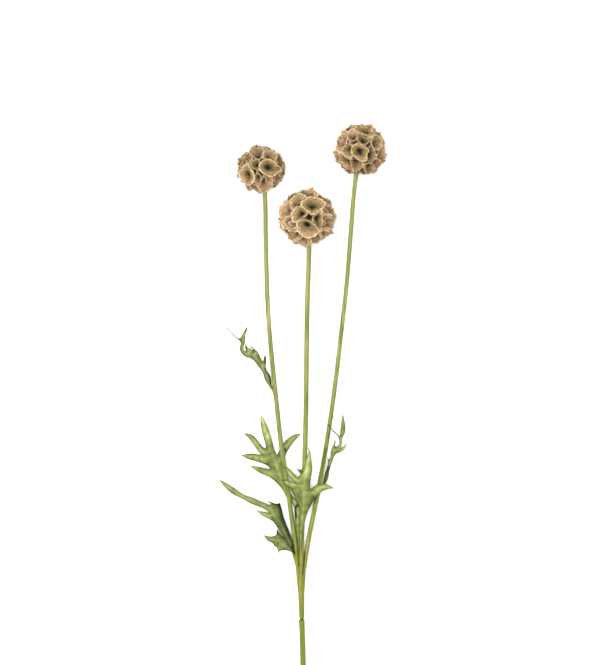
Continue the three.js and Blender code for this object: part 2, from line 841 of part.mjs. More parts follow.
        at: 11,
        rows: [
          [33.8, -13.2, 13.4, 1.4, 1.3],
          [35.9, -11.5, 12.6, 0.8, 0.8],
          [36.7, -9.6, 12.1, 0.6, 0.6],
          [38.1, -7.8, 11.6, 0, 0],
        ],
      },
      {
        side: 'left',
        at: 15,
        rows: [
          [31, -2.1, 15.3, 0.6, 0.6],
          [28.9, -0.1, 15.4, 0.4, 0.4],
          [25.5, 3.2, 15.4, 0.4, 0.4],
          [21.6, 8.2, 15.2, 0, 0],
        ],
      },
    ],
  },
};

function leafSolid({ spine, lobes }) {
  const points = [];
  const faces = [];
  const keep = (point) => points.push(point) - 1;

  const spread = (rows, i, root) => {
    const rib = toPoint(rows[i]);
    const behind = i > 0 ? toPoint(rows[i - 1]) : root ?? rib;
    const ahead = i < rows.length - 1 ? toPoint(rows[i + 1]) : rib;
    const [, , , left, right] = rows[i];
    if (left === 0) return [keep(rib)];
    const side = new THREE.Vector3(behind.y - ahead.y, ahead.x - behind.x, 0).normalize();
    const edge = (reach) => {
      const point = rib.clone().addScaledVector(side, reach);
      point.z -= LEAF_ARCH * Math.abs(reach);
      return point;
    };
    return [keep(edge(left)), keep(rib), keep(edge(-right))];
  };

  const join = (from, to) => {
    const last = to.length - 1;
    for (const [a, b] of [[0, 1], [1, 2]]) {
      faces.push([from[a], from[b], to[Math.min(b, last)]]);
      if (last > 0) faces.push([from[a], to[b], to[a]]);
    }
  };

  const strips = spine.map((_, i) => spread(spine, i));
  strips.slice(1).forEach((strip, i) => join(strips[i], strip));
  for (const { side, at, rows } of lobes) {
    const edge = [at - 1, at, at + 1].map((i) => strips[i][side === 'left' ? 0 : 2]);
    let from = side === 'left' ? edge : edge.reverse();
    rows.forEach((_, i) => {
      const to = spread(rows, i, points[from[1]]);
      join(from, to);
      from = to;
    });
  }
  return thicken(points, faces);
}

// Gives a sheet its thickness, half to each side, and closes it round its edge.
function thicken(points, faces) {
  const normals = points.map(() => new THREE.Vector3());
  const rim = new Map();
  for (const [a, b, c] of faces) {
    const ab = points[b].clone().sub(points[a]);
    const ac = points[c].clone().sub(points[a]);
    const normal = ab.cross(ac);
    for (const corner of [a, b, c]) normals[corner].add(normal);
    for (const [from, to] of [[a, b], [b, c], [c, a]]) {
      if (!rim.delete(`${to} ${from}`)) rim.set(`${from} ${to}`, [from, to]);
    }
  }
  const offset = (sign) => points.map((p, i) => {
    const half = normals[i].clone().normalize().multiplyScalar((sign * LEAF_THICKNESS) / 2);
    return p.clone().add(half);
  });
  const count = points.length;
  const triangles = faces.flatMap(([a, b, c]) => [a, b, c, a + count, c + count, b + count]);
  for (const [from, to] of rim.values()) {
    triangles.push(to, from, from + count, to, from + count, to + count);
  }
  return toManifold([...offset(1), ...offset(-1)], triangles);
}

// ---- the spray ----

const spray = new THREE.Group();

const forked = shapedBar(stalkWay)
  .add(branch(leftWay, heads.head_left))
  .add(branch(middleWay, heads.head_middle))
  .add(branch(rightWay, heads.head_right))
  .add(peg(PEG_RADIUS, PEG_LENGTH));
const withStubs = stubs.reduce((solid, way) => solid.add(shapedBar(way)), forked);
const lower = shapedBar(lowerWay).subtract(peg(PEG_RADIUS + CLEARANCE, PEG_LENGTH + CLEARANCE));
spray.add(toMesh('stem_lower', lower, stemGreen));
spray.add(toMesh('stem_forked', withStubs, stemGreen));
for (const [name, head] of Object.entries(heads)) {
  spray.add(toMesh(name, headSolid(head), paperTan));
}
for (const [name, leaf] of Object.entries(leaves)) {
  spray.add(toMesh(name, leafSolid(leaf), leafGreen));
}

export default spray;
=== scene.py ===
import math
import random

import bmesh
import bpy
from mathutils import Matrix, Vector, noise
from mathutils.geometry import intersect_point_line


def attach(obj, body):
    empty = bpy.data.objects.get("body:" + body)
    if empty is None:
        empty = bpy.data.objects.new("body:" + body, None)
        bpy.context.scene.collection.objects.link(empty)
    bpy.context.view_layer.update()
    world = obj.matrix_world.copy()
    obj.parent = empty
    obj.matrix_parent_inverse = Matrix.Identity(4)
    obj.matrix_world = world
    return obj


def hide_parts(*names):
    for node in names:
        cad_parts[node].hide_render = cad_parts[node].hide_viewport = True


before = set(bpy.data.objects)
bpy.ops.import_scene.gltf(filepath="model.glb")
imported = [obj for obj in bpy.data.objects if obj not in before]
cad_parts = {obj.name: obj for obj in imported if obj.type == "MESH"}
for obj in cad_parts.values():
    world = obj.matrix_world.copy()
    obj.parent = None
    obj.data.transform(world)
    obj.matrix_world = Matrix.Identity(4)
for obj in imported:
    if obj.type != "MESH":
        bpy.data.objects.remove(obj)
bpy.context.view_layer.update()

MM = 0.001


# ---- Camera ----
# The spray lies on its back, so the camera hangs over it and looks straight down, with the heads
# at the top of its view and the cut end of the stem past the lower edge.

CAMERA_PLACE = (-0.0004, 0.0861, 4.27)
CAMERA_LENS = 271

bpy.ops.object.camera_add(location=CAMERA_PLACE, rotation=(0, 0, 0))
camera = bpy.context.object
camera.data.lens = CAMERA_LENS
bpy.context.scene.camera = camera


# ---- Lower stem ----
# The plain end of the fresh green stem, cut square, lying on the surface. It is a ribbed tube with
# a thin collar at its top, where the upper stem pushes in, and the pale pith shows in the cut.

STEM_RADIUS = 2.33
COLLAR_RADIUS = 2.52
LYING_HEIGHT = STEM_RADIUS + 0.05
JOINT_X = -0.7
JOINT_Y = -159
JOINT_HEIGHT = 3.3
RIBS = 12
GROOVE = 0.05  # depth of the grooves between the ribs, in parts of the stem's radius
RIND = 0.0006
SAME_POINT = 0.00001

lower_way = [
    (JOINT_X, JOINT_Y, JOINT_HEIGHT, COLLAR_RADIUS - 0.3),
    (JOINT_X, JOINT_Y - 0.5, JOINT_HEIGHT, COLLAR_RADIUS),
    (JOINT_X, JOINT_Y - 2.8, 3.2, COLLAR_RADIUS),
    (-0.5, JOINT_Y - 5.5, 3.1, STEM_RADIUS),
    (0.2, -185, LYING_HEIGHT + 0.2, STEM_RADIUS),
    (0.7, -208, LYING_HEIGHT, STEM_RADIUS),
    (1.1, -236, LYING_HEIGHT, STEM_RADIUS),
    (1.2, -263.5, LYING_HEIGHT, STEM_RADIUS),
]

# The painted shadow line in the gap at the joint, as (radius, strength, [(x, y), ...]).
joint_shade = [(0.7, 0.6, [(-3.5, JOINT_Y), (2, JOINT_Y)])]


def select_only(*pieces):
    """Leaves edit mode and selects these pieces alone, with the first one active."""
    if bpy.context.mode != "OBJECT":
        bpy.ops.object.mode_set(mode="OBJECT")
    bpy.ops.object.select_all(action="DESELECT")
    for piece in pieces:
        piece.select_set(True)
    if pieces:
        bpy.context.view_layer.objects.active = pieces[0]


def rib_section():
    """The outline of a stem, a circle of radius 1 with shallow grooves."""
    select_only()
    bpy.ops.curve.primitive_bezier_circle_add(radius=1)
    section = bpy.context.object
    bpy.ops.object.mode_set(mode="EDIT")
    bpy.ops.curve.select_all(action="SELECT")
    bpy.ops.curve.subdivide(number_cuts=RIBS // 2 - 1)
    bpy.ops.object.mode_set(mode="OBJECT")
    section.data.resolution_u = 2
    for i, point in enumerate(section.data.splines[0].bezier_points):
        point.handle_left_type = point.handle_right_type = "AUTO"
        if i % 2:
            point.co *= 1 - GROOVE
    return section


def stem_tube(name, way, steps):
    """A ribbed tube along a way of (x, y, z, radius) in mm, with steps between its points."""
    section = rib_section()
    select_only()
    bpy.ops.curve.primitive_bezier_curve_add()
    tube = bpy.context.object
    tube.name = name
    spline = tube.data.splines[0]
    spline.bezier_points.add(len(way) - 2)
    for point, (x, y, z, radius) in zip(spline.bezier_points, way):
        point.co = Vector((x, y, z)) * MM
        point.radius = radius * MM
        point.handle_left_type = point.handle_right_type = "AUTO"
    tube.data.resolution_u = steps
    tube.data.bevel_mode = "OBJECT"
    tube.data.bevel_object = section
    tube.data.use_fill_caps = True
    bpy.ops.object.convert(target="MESH")
    bpy.data.objects.remove(section)
    bpy.ops.object.mode_set(mode="EDIT")
    bpy.ops.mesh.select_all(action="SELECT")
    bpy.ops.mesh.remove_doubles(threshold=SAME_POINT)
    bpy.ops.mesh.normals_make_consistent(inside=False)
    bpy.ops.object.mode_set(mode="OBJECT")
    return tube


def new_material(name, roughness):
    """A dull material, with little shine whatever its roughness."""
    material = bpy.data.materials.new(name)
    material.use_nodes = True
    shader = material.node_tree.nodes["Principled BSDF"]
    shader.inputs["Roughness"].default_value = roughness
    shader.inputs["Specular IOR Level"].default_value = 0.1
    return material


def node(material, kind, inputs, **settings):
    """Adds a shader node. Each input is a constant or the output of another node."""
    made = material.node_tree.nodes.new(f"ShaderNode{kind}")
    for name, value in settings.items():
        setattr(made, name, value)
    for name, value in inputs.items():
        if isinstance(value, bpy.types.NodeSocket):
            material.node_tree.links.new(value, made.inputs[name])
        else:
            made.inputs[name].default_value = value
    return made


def ramp(material, value, stops):
    """Turns a value into a colour, by stops of (value, colour)."""
    made = node(material, "ValToRGB", {"Fac": value})
    made.color_ramp.elements.remove(made.color_ramp.elements[1])
    for i, (position, colour) in enumerate(stops):
        stop = made.color_ramp.elements[0] if i == 0 else made.color_ramp.elements.new(position)
        stop.position = position
        stop.color = (*colour, 1)
    return made.outputs["Color"]


def blend(material, kind, amount, below, above):
    """Lays one colour over another, mixed or multiplied."""
    inputs = {0: amount, 6: below, 7: above}
    return node(material, "Mix", inputs, data_type="RGBA", blend_type=kind).outputs[2]


def tinge(material, colour, value, stops):
    """Multiplies a colour by the ramp of a value."""
    return blend(material, "MULTIPLY", 1.0, colour, ramp(material, value, stops))


def mottling(material, scale, detail):
    """Noise that is fixed to the object, with its scale in waves along each metre."""
    where = node(material, "TexCoord", {}).outputs["Object"]
    placed = node(material, "Mapping", {"Vector": where, "Scale": scale}).outputs["Vector"]
    made = node(material, "TexNoise", {"Vector": placed, "Scale": 1.0, "Detail": detail})
    return made.outputs["Fac"]


def mark(material, name):
    """A value that is written on the piece's own points."""
    return node(material, "Attribute", {}, attribute_name=name).outputs["Fac"]


def dress(material, colour, height, depth):
    """Feeds a material's shader with its colour and with a relief of that depth in metres."""
    shader = material.node_tree.nodes["Principled BSDF"]
    bump = node(material, "Bump", {"Height": height, "Distance": depth, "Strength": 0.5})
    material.node_tree.links.new(colour, shader.inputs["Base Color"])
    material.node_tree.links.new(bump.outputs["Normal"], shader.inputs["Normal"])


def brush(piece, name, strokes):
    """Marks places, seen from above, each as (radius in mm, strength, [(x, y) in mm, ...])."""
    layer = piece.data.attributes.new(name, "FLOAT", "POINT")
    for vertex in piece.data.vertices:
        spot = Vector(vertex.co.xy).to_3d() / MM
        for radius, strength, line in strokes:
            for a, b in zip(line, line[1:]):
                a, b = Vector((*a, 0)), Vector((*b, 0))
                nearest, part = intersect_point_line(spot, a, b)
                nearest = a.lerp(b, min(1, max(0, part)))
                share = strength * min(1, max(0, 1.5 - (spot - nearest).length / radius))
                layer.data[vertex.index].value = max(layer.data[vertex.index].value, share)


def stem_skin():
    """Fresh green bark, yellower low down, with long pale and dark streaks."""
    material = new_material("stem_skin", 0.45)
    streaks = mottling(material, (1100, 16, 1100), 4.0)
    bark = ramp(material, streaks, [
        (0.32, (0.105, 0.117, 0.028)),
        (0.45, (0.172, 0.186, 0.047)),
        (0.56, (0.216, 0.23, 0.07)),
        (0.68, (0.277, 0.28, 0.11)),
    ])
    where = node(material, "TexCoord", {}).outputs["Object"]
    along = node(material, "SeparateXYZ", {"Vector": where}).outputs["Y"]
    height = node(material, "MapRange", {"Value": along, "From Min": -0.25, "From Max": 0.1})
    warm = tinge(material, bark, height.outputs["Result"], [
        (0.0, (0.75, 0.79, 0.4)),
        (0.3, (0.75, 0.79, 0.45)),
        (0.43, (0.86, 0.88, 0.54)),
        (0.6, (0.93, 0.95, 0.66)),
        (0.8, (1.0, 1.0, 0.9)),
        (1.0, (1.03, 1.02, 1.05)),
    ])
    mottled = tinge(material, warm, mottling(material, (60, 25, 60), 2.0), [
        (0.35, (0.86, 0.9, 0.86)),
        (0.65, (1.08, 1.04, 1.0)),
    ])
    # Painted shade: darker olive in the fork's creases, at the joint and along shaded lengths.
    shaded_and_toned = blend(material, "MULTIPLY", mark(material, "painted_shade_and_tone"), mottled, (0.27, 0.25, 0.06, 1))
    dress(material, shaded_and_toned, streaks, 0.0004)
    return material


def pith_skin():
    """The soft pale pith that shows in the cut end."""
    material = new_material("pith_pale", 0.9)
    grain = mottling(material, (1500, 1500, 1500), 2.0)
    pith = ramp(material, grain, [
        (0.3, (0.25, 0.25, 0.13)),
        (0.7, (0.45, 0.43, 0.3)),
    ])
    dress(material, pith, grain, 0.0003)
    return material


stem_green = stem_skin()
pith_pale = pith_skin()

lower_stem = stem_tube("lower_stem", lower_way, steps=8)
lower_stem.data.materials.append(stem_green)
lower_stem.data.materials.append(pith_pale)
bpy.ops.object.mode_set(mode="EDIT")
bpy.ops.mesh.select_mode(type="FACE")
bpy.ops.mesh.select_all(action="DESELECT")
sheet = bmesh.from_edit_mesh(lower_stem.data)
cut = min(sheet.faces, key=lambda face: face.calc_center_median().y)
cut.select = True
bpy.ops.mesh.inset(thickness=RIND)
lower_stem.active_material_index = 1
bpy.ops.object.material_slot_assign()
bpy.ops.object.mode_set(mode="OBJECT")
brush(lower_stem, "painted_shade_and_tone", joint_shade)
bpy.ops.object.shade_smooth_by_angle(angle=math.radians(40))
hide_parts("stem_lower")
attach(lower_stem, "root")


# ---- Forked stem ----
# Three slender branches leave one short stalk at a sheath-like fork, and the crease where they part
# is darkened with painted shade. They are ribbed tubes, joined with the stalk into one grown piece,
# and so are the short stubs that carry the leaves and two knots on the right branch.

BRANCH_RADII = {"left": 1.92, "middle": 2.1, "right": 1.9}
FORK_RADIUS = 2.95
BRANCH_STEPS = 14
STUB_STEPS = 6

stalk_way = [
    (-1.2, -117, 4.9, 2.4),
    (-1.2, -124, 4.7, FORK_RADIUS),
    (-1.2, -131, 4.5, FORK_RADIUS - 0.1),
    (-1.1, -137, 4.3, 2.5),
    (-0.9, -147, 3.9, 2.3),
    (JOINT_X, JOINT_Y + 2.5, JOINT_HEIGHT, 2.1),
    (JOINT_X, JOINT_Y + 0.5, JOINT_HEIGHT, 1.6),
    (JOINT_X, JOINT_Y - 1, JOINT_HEIGHT, 1.5),
]
branch_ways = {
    "left": [
        (-1.3, -137, 4.1), (-2, -129, 4.2), (-2.5, -119, 4.7), (-4.2, -105, 5.5), (-8, -80, 6.9),
        (-11.3, -56.5, 8.2), (-15.4, -29, 9.7), (-19, -2, 11.2), (-22.3, 28.5, 12.8),
        (-24.6, 50, 13.9), (-26.7, 71.5, 15), (-29, 100, 16.4), (-30.6, 141, 18),
        (-31.3, 171.5, 18.7), (-31.5, 190, 19), (-32.5, 208.8, 19.1), (-34.3, 220.5, 19.1),
    ],
    "middle": [
        (-1.1, -139, 4.4), (-1.1, -128, 5.4), (-1.2, -117.5, 6.4), (-1.1, -100, 7.7),
        (-0.4, -82, 9.1), (0.6, -56.5, 10.9), (1.8, -24, 13.3), (2.8, 11.5, 15.7),
        (3.2, 45.5, 17.8), (3.7, 88, 20), (4.4, 122, 21.3), (5.3, 145, 22), (5.4, 163.9, 22.6),
        (4.4, 178, 22.8),
    ],
    "right": [
        (-0.5, -137, 4.1), (0.1, -129, 4.2), (0.9, -117.5, 4.6), (2.4, -107, 5.2), (5.7, -87, 6.5),
        (10.6, -63, 7.9), (16.4, -32.5, 9.7), (21.8, 0, 11.6), (27.4, 39, 13.8), (32.6, 83, 16.2),
        (37.7, 129, 18.4), (41.1, 171.5, 20), (44, 207, 20.6), (46.1, 223.8, 20.6),
        (48.2, 236.5, 20.6),
    ],
}
stub_ways = [
    [
        (-2.6, -131, 4.4, 1.6), (-3.2, -124, 4.5, 1.75), (-3.6, -118, 4.7, 1.9),
        (-4.2, -112.5, 4.9, 1.85), (-5.2, -108.5, 5, 1.85), (-6.5, -104.5, 5.2, 1.8),
        (-7.4, -101.2, 5.4, 1.6),
    ],
    [
        (-22.4, 27, 12.7, 1.1), (-23.6, 33.5, 13.6, 1.25), (-25, 37.3, 14.3, 1.3),
        (-27, 40.4, 15.1, 1.25),
    ],
    [(14.3, -44.5, 9.2, 1), (16.6, -42.9, 10.1, 1)],
    [(24.4, 13.3, 12.5, 0.8), (26.2, 14.1, 12.8, 0.6), (26.8, 14.3, 12.9, 0.3)],
    [(10.8, -61.2, 8.2, 0.7), (9.1, -60.4, 8.5, 0.5), (8.7, -60.2, 8.5, 0.25)],
]

# Painted shade: dark creases where the branches part, the shadow line at the joint and shaded
# lengths of the branches, each as (radius, strength, [(x, y), ...]).
fork_shade = [
    (0.7, 0.6, [(-3.5, JOINT_Y + 0.6), (2, JOINT_Y + 0.6)]),
    (0.7, 0.8, [(-3.9, -98.8), (-3.1, -112.7)]),
    (0.6, 0.9, [(2.4, -100.9), (0.1, -120.1)]),
    (1.0, 0.3, [(27.5, 26), (21.5, -8)]),
    (1.3, 0.6, [(19.8, -12), (15.6, -34), (10.5, -58)]),
    (1.0, 0.5, [(-9.5, -56.5), (-6, -80), (-2.9, -100)]),
    (1.3, 0.2, [(-28, 90), (-21.5, 20)]),
    (0.9, 0.3, [(-17.4, -20), (-13.6, -50)]),
]


def apply_modifier(piece, kind, **settings):
    """Gives a piece a modifier with these settings, and applies it."""
    select_only(piece)
    bpy.ops.object.modifier_add(type=kind)
    modifier = piece.modifiers[-1]
    for name, value in settings.items():
        setattr(modifier, name, value)
    bpy.ops.object.modifier_apply(modifier=modifier.name)


forked_stem = stem_tube("forked_stem", stalk_way, steps=10)
tubes = []
for side, way in branch_ways.items():
    tubes.append(([(*place, BRANCH_RADII[side]) for place in way], BRANCH_STEPS))
for way in stub_ways:
    tubes.append((way, STUB_STEPS))
for way, steps in tubes:
    grown = stem_tube("grown", way, steps)
    apply_modifier(forked_stem, "BOOLEAN", operation="UNION", object=grown, solver="MANIFOLD")
    bpy.data.objects.remove(grown)
forked_stem.data.materials.clear()
forked_stem.data.materials.append(stem_green)
brush(forked_stem, "painted_shade_and_tone", fork_shade)
bpy.ops.object.shade_smooth_by_angle(angle=math.radians(40))
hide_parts("stem_forked")
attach(forked_stem, "root")


# ---- Heads ----
# Each head is a globe of papery funnel cups that grow out of a small dark core, with ruffled cream
# rims and a dark star of bristles in every throat. One cup and one star are modelled, and a copy
# of them is bent to each cup's place: open where it faces up, and crumpled like a petal elsewhere.

PAPER = 0.0004
CORE = 0.65  # size of the core, in parts of the head's radius
CUP_SPOKES = 72
BRISTLES = 5
STAR_DEPTH = 0.705  # where the star sits in its cup, in parts of the head's radius
BRISTLE_REACH = 2.6  # how far the bristles reach, in parts of the radius of the star's knob
BRISTLE_RISE = 0.05
CORE_ROUGHNESS = 0.03
PRESSED = 0.0006  # lowest that a cup reaches, where the head lies on the surface
WIDEST_CUP = 0.6  # angle in radians from a cup's axis to its rim, at most
TUCKED_CUP = 0.26  # the same angle of the small cups that show between the drawn ones
LEAN = 0.2  # how much further outwards a plain cup faces than its place does
TUCK = 0.03  # how far under a drawn cup the plain ones stay
COVERED = 0.6  # cosine of the widest angle from its axis that a drawn cup covers
COVER_EDGE = 1.2  # how far out its cover ends, in parts of its own reach
COVER_SLOPE = 1.5  # how fast the room under it opens outside its rim
UNDER_DRAWN = 1.4  # how far a plain cup reaches, in parts of half the way to a drawn neighbour
UNDER_PLAIN = 1.2  # the same, towards a plain one
RIM_SQUARENESS = 7  # how sharply the sides of a plain cup's rim meet
SPREAD_ROUNDS = 60
SPREAD_PUSH = 0.004
DRAWN_CRUMPLE = 0.04
TUCKED_CRUMPLE = 0.07
TUCKED_PINK = (0.3, 0.8)
TUCKED_DARK = 0.3
TUCKED_LIFT = -0.1
PLAIN_CRUMPLE = (0.06, 0.12)
PLAIN_PINK = (0.4, 1)
PLAIN_LIFT = (-0.11, 0.01)
PLAIN_DEPTH = 1.15  # how much deeper than a drawn cup a plain one is
SOFT_WAVES = 1.5  # how tightly the waves of the crumpled paper run round a cup
CRISP_WAVES = 3.2
SWAY_WAVES = 2.4
FINE_WAVES = 7

# A cup from foot to rim, as (share of the way to the rim, height in parts of the head's radius).
cup_profile = [
    (0.11, 0.560), (0.14, 0.665), (0.19, 0.705), (0.27, 0.750), (0.37, 0.805), (0.49, 0.855),
    (0.61, 0.897), (0.73, 0.933), (0.85, 0.965), (0.94, 0.988), (1.01, 1.002), (1.04, 0.998),
]

# A drawn cup is the place of its throat, how pink and how dark it is, how far it stands out and
# the corners of its rim. Places are (across, along) in parts of the head's radius. "Facing" is
# where the smaller cups beside them point, and "tucked" is where small ones show between them.
# "Darkest" bounds how dark those smaller cups get, "stalk" is the way to the branch, and "cups" is
# how many the head has besides the tucked ones: those that aren't given are spread over the rest.
heads = {
    "left": {
        "centre": (-34.9, 225, 19.1),
        "radius": 20.5,
        "stalk": (0.145, -0.989, 0),
        "cups": 31,
        "seed": 11,
        "darkest": 0.4,
        "drawn": [
            ((0.38, 0.08), 0.1, 0.12, 0.035, [
                (0.67, 0.1), (0.48, 0.28), (0.31, 0.36), (0.14, 0.33), (-0.03, 0.21), (-0.08, 0.01),
                (0.01, -0.14), (0.16, -0.26), (0.34, -0.33), (0.45, -0.32), (0.64, -0.21),
                (0.82, -0.04),
            ]),
            ((-0.2, 0.14), 0.15, 0.35, 0.01, [
                (-0.04, 0.26), (-0.11, 0.35), (-0.25, 0.36), (-0.39, 0.29), (-0.46, 0.15),
                (-0.39, 0.03), (-0.27, -0.05), (-0.11, -0.05), (-0.06, 0.12),
            ]),
            ((-0.16, 0.6), 0.45, 0.4, 0, [
                (0.12, 0.71), (0.05, 0.87), (-0.14, 0.91), (-0.36, 0.86), (-0.48, 0.75),
                (-0.38, 0.56), (-0.24, 0.4), (-0.05, 0.36), (0.05, 0.53),
            ]),
            ((0.38, 0.56), 0.75, 0.15, 0, [
                (0.66, 0.54), (0.56, 0.73), (0.3, 0.79), (0.16, 0.73), (0.04, 0.48), (0.2, 0.39),
                (0.42, 0.36), (0.55, 0.31),
            ]),
            ((-0.72, -0.31), 0.35, 0.1, 0.02, [
                (-0.27, -0.35), (-0.33, -0.16), (-0.46, 0.06), (-0.58, 0.18), (-0.78, 0.01),
                (-0.9, -0.21), (-0.86, -0.38), (-0.75, -0.54), (-0.52, -0.68), (-0.31, -0.54),
            ]),
            ((-0.15, -0.43), 1.0, 0.3, 0, [
                (0, -0.4), (-0.05, -0.25), (-0.16, -0.2), (-0.26, -0.32), (-0.3, -0.52),
                (-0.22, -0.72), (-0.1, -0.78), (-0.02, -0.6),
            ]),
        ],
        "tucked": [(0.02, 0.36), (-0.48, 0.42), (0, -0.25), (0.6, 0.3), (0.45, -0.5)],
        "facing": [
            (0.17, -0.62), (0.62, -0.56), (-0.8, 0.42), (0.87, 0.3), (-0.4, -0.86),
        ],
    },
    "middle": {
        "centre": (4, 183.4, 22.8),
        "radius": 24.5,
        "stalk": (0.07, -0.997, -0.01),
        "cups": 33,
        "seed": 23,
        "darkest": 0.15,
        "drawn": [
            ((0.22, 0.48), 0.05, 0, 0.03, [
                (0.61, 0.42), (0.54, 0.55), (0.34, 0.65), (0.12, 0.7), (-0.07, 0.62), (-0.22, 0.45),
                (-0.07, 0.29), (0.08, 0.14), (0.2, 0.09), (0.5, 0.28),
            ]),
            ((-0.19, 0.17), 0.05, 0, 0.02, [
                (0.01, 0.2), (-0.13, 0.32), (-0.3, 0.36), (-0.48, 0.21), (-0.53, 0.02),
                (-0.47, -0.16), (-0.32, -0.12), (-0.15, -0.03), (-0.02, 0.07),
            ]),
            ((0, -0.29), 0.2, 0, 0.03, [
                (0.15, -0.18), (-0.03, -0.09), (-0.23, -0.11), (-0.37, -0.23), (-0.32, -0.46),
                (-0.15, -0.65), (0.08, -0.69), (0.33, -0.58), (0.43, -0.46), (0.28, -0.29),
            ]),
            ((0.42, -0.02), 0.25, 0.2, 0, [
                (0.53, -0.01), (0.46, 0.18), (0.25, 0.07), (0.18, -0.06), (0.2, -0.16),
                (0.28, -0.28), (0.42, -0.49), (0.48, -0.39), (0.52, -0.23),
            ]),
            ((-0.42, 0.6), 0.4, 0.05, 0, [
                (-0.07, 0.72), (-0.13, 0.8), (-0.43, 0.76), (-0.58, 0.57), (-0.59, 0.41),
                (-0.48, 0.27), (-0.22, 0.57),
            ]),
        ],
        "tucked": [(0.1, 0), (-0.36, 0.42), (0.62, 0.12), (0.56, -0.36), (-0.45, -0.3)],
        "facing": [
            (-0.8, 0.18), (-0.64, -0.2), (-0.5, -0.68), (-0.18, -0.9), (0.36, -0.82), (0.84, 0.26),
            (0.78, -0.22), (0.7, -0.6), (0.04, 0.95), (0.6, 0.76),
        ],
    },
    "right": {
        "centre": (49, 241.3, 20.6),
        "radius": 22.2,
        "stalk": (-0.165, -0.986, 0),
        "cups": 34,
        "seed": 37,
        "darkest": 0.35,
        "drawn": [
            ((-0.03, -0.1), 0.1, 0.12, 0.035, [
                (0.29, -0.04), (0.14, 0.08), (0, 0.17), (-0.17, 0.18), (-0.31, 0.07),
                (-0.35, -0.09), (-0.25, -0.27), (-0.11, -0.38), (0.03, -0.47), (0.17, -0.45),
                (0.25, -0.35), (0.24, -0.2),
            ]),
            ((0.16, 0.37), 0.3, 0.3, 0.01, [
                (0.32, 0.33), (0.25, 0.4), (0.08, 0.51), (-0.06, 0.57), (-0.14, 0.42),
                (-0.11, 0.33), (-0.02, 0.23), (0.11, 0.13), (0.25, 0.17),
            ]),
            ((-0.32, 0.5), 0.5, 0.2, 0, [
                (-0.12, 0.57), (-0.19, 0.74), (-0.32, 0.78), (-0.48, 0.68), (-0.51, 0.51),
                (-0.42, 0.34), (-0.26, 0.31), (-0.14, 0.4),
            ]),
            ((-0.5, 0), 0.5, 0.25, 0, [
                (-0.32, 0.05), (-0.34, 0.17), (-0.48, 0.16), (-0.63, 0.05), (-0.73, -0.12),
                (-0.6, -0.27), (-0.42, -0.34), (-0.3, -0.29), (-0.36, -0.11),
            ]),
            ((0.41, -0.25), 0.2, 0.65, 0, [
                (0.56, -0.11), (0.46, 0.07), (0.34, 0.1), (0.27, -0.04), (0.25, -0.2),
                (0.26, -0.35), (0.34, -0.48), (0.49, -0.44), (0.56, -0.27),
            ]),
            ((0.69, 0.2), 0.4, 0, 0, [
                (0.85, 0.2), (0.82, 0.4), (0.66, 0.54), (0.48, 0.5), (0.4, 0.3), (0.45, 0.08),
                (0.59, -0.04), (0.74, 0.03),
            ]),
            ((-0.24, -0.54), 0.4, 0.35, 0.01, [
                (0.08, -0.54), (-0.05, -0.44), (-0.22, -0.37), (-0.36, -0.46), (-0.29, -0.75),
                (-0.17, -0.86), (-0.06, -0.8), (0.08, -0.69),
            ]),
            ((0.41, -0.77), 0.35, 0.15, 0.01, [
                (0.49, -0.58), (0.31, -0.53), (0.13, -0.61), (0.17, -0.86), (0.28, -0.95),
                (0.45, -0.86), (0.57, -0.71),
            ]),
        ],
        "tucked": [(0.34, 0.24), (0.64, -0.14), (0.1, -0.52), (-0.25, 0.24), (-0.38, -0.36)],
        "facing": [
            (0.85, -0.3), (-0.62, -0.55), (-0.75, 0.35), (0.2, 0.82), (0.68, -0.6),
        ],
    },
}


def model_cup():
    """One cup, unrolled: across is its share of the way to the rim, up is its height."""
    select_only()
    share, depth = cup_profile[0]
    bpy.ops.mesh.primitive_circle_add(vertices=CUP_SPOKES, radius=share, fill_type="TRIFAN",
                                      location=(0, 0, depth))
    bpy.ops.object.transform_apply(location=True)
    made = bpy.context.object
    bpy.ops.object.mode_set(mode="EDIT")
    bpy.ops.mesh.select_mode(type="EDGE")
    bpy.ops.mesh.select_all(action="DESELECT")
    bpy.ops.mesh.select_non_manifold()
    for (inner, low), (outer, high) in zip(cup_profile, cup_profile[1:]):
        growth = outer / inner
        bpy.ops.mesh.extrude_region_move(TRANSFORM_OT_translate={"value": (0, 0, high - low)})
        bpy.ops.transform.resize(value=(growth, growth, 1), center_override=(0, 0, high))
    bpy.ops.mesh.select_all(action="SELECT")
    bpy.ops.mesh.normals_make_consistent(inside=False)
    bpy.ops.object.mode_set(mode="OBJECT")
    if made.data.polygons[0].normal.z < 0:
        made.data.flip_normals()
    return made


def model_star():
    """The dark calyx in a throat: a low knob with bristles that lean outwards."""
    select_only()
    bpy.ops.mesh.primitive_cone_add(vertices=2 * BRISTLES, radius1=0.08, radius2=0.03, depth=0.04,
                                    location=(0, 0, STAR_DEPTH))
    bpy.ops.object.transform_apply(location=True)
    made = bpy.context.object
    for vertex in made.data.vertices:
        ray = round(math.atan2(vertex.co.y, vertex.co.x) / (math.pi / BRISTLES))
        if vertex.co.z < STAR_DEPTH and ray % 2 == 0:
            vertex.co.x *= BRISTLE_REACH
            vertex.co.y *= BRISTLE_REACH
            vertex.co.z += BRISTLE_RISE
    return made


def mark_cup(mesh, pink, dark):
    """Gives a cup's corners their place, around and out from the throat, and its two tints."""
    layer = mesh.uv_layers.new(name="cup")
    for face in mesh.polygons:
        middle = math.atan2(face.center.y, face.center.x)
        for loop in face.loop_indices:
            x, y, _ = mesh.vertices[mesh.loops[loop].vertex_index].co
            turn = math.atan2(y, x) if math.hypot(x, y) > 0.001 else middle
            turn += 2 * math.pi * round((middle - turn) / (2 * math.pi))
            layer.data[loop].uv = (turn / (2 * math.pi) + 0.5, math.hypot(x, y))
    for name, value in (("pink", pink), ("painted_shade_and_tone", dark)):
        tint = mesh.attributes.new(name, "FLOAT", "POINT")
        tint.data.foreach_set("value", [value] * len(mesh.vertices))


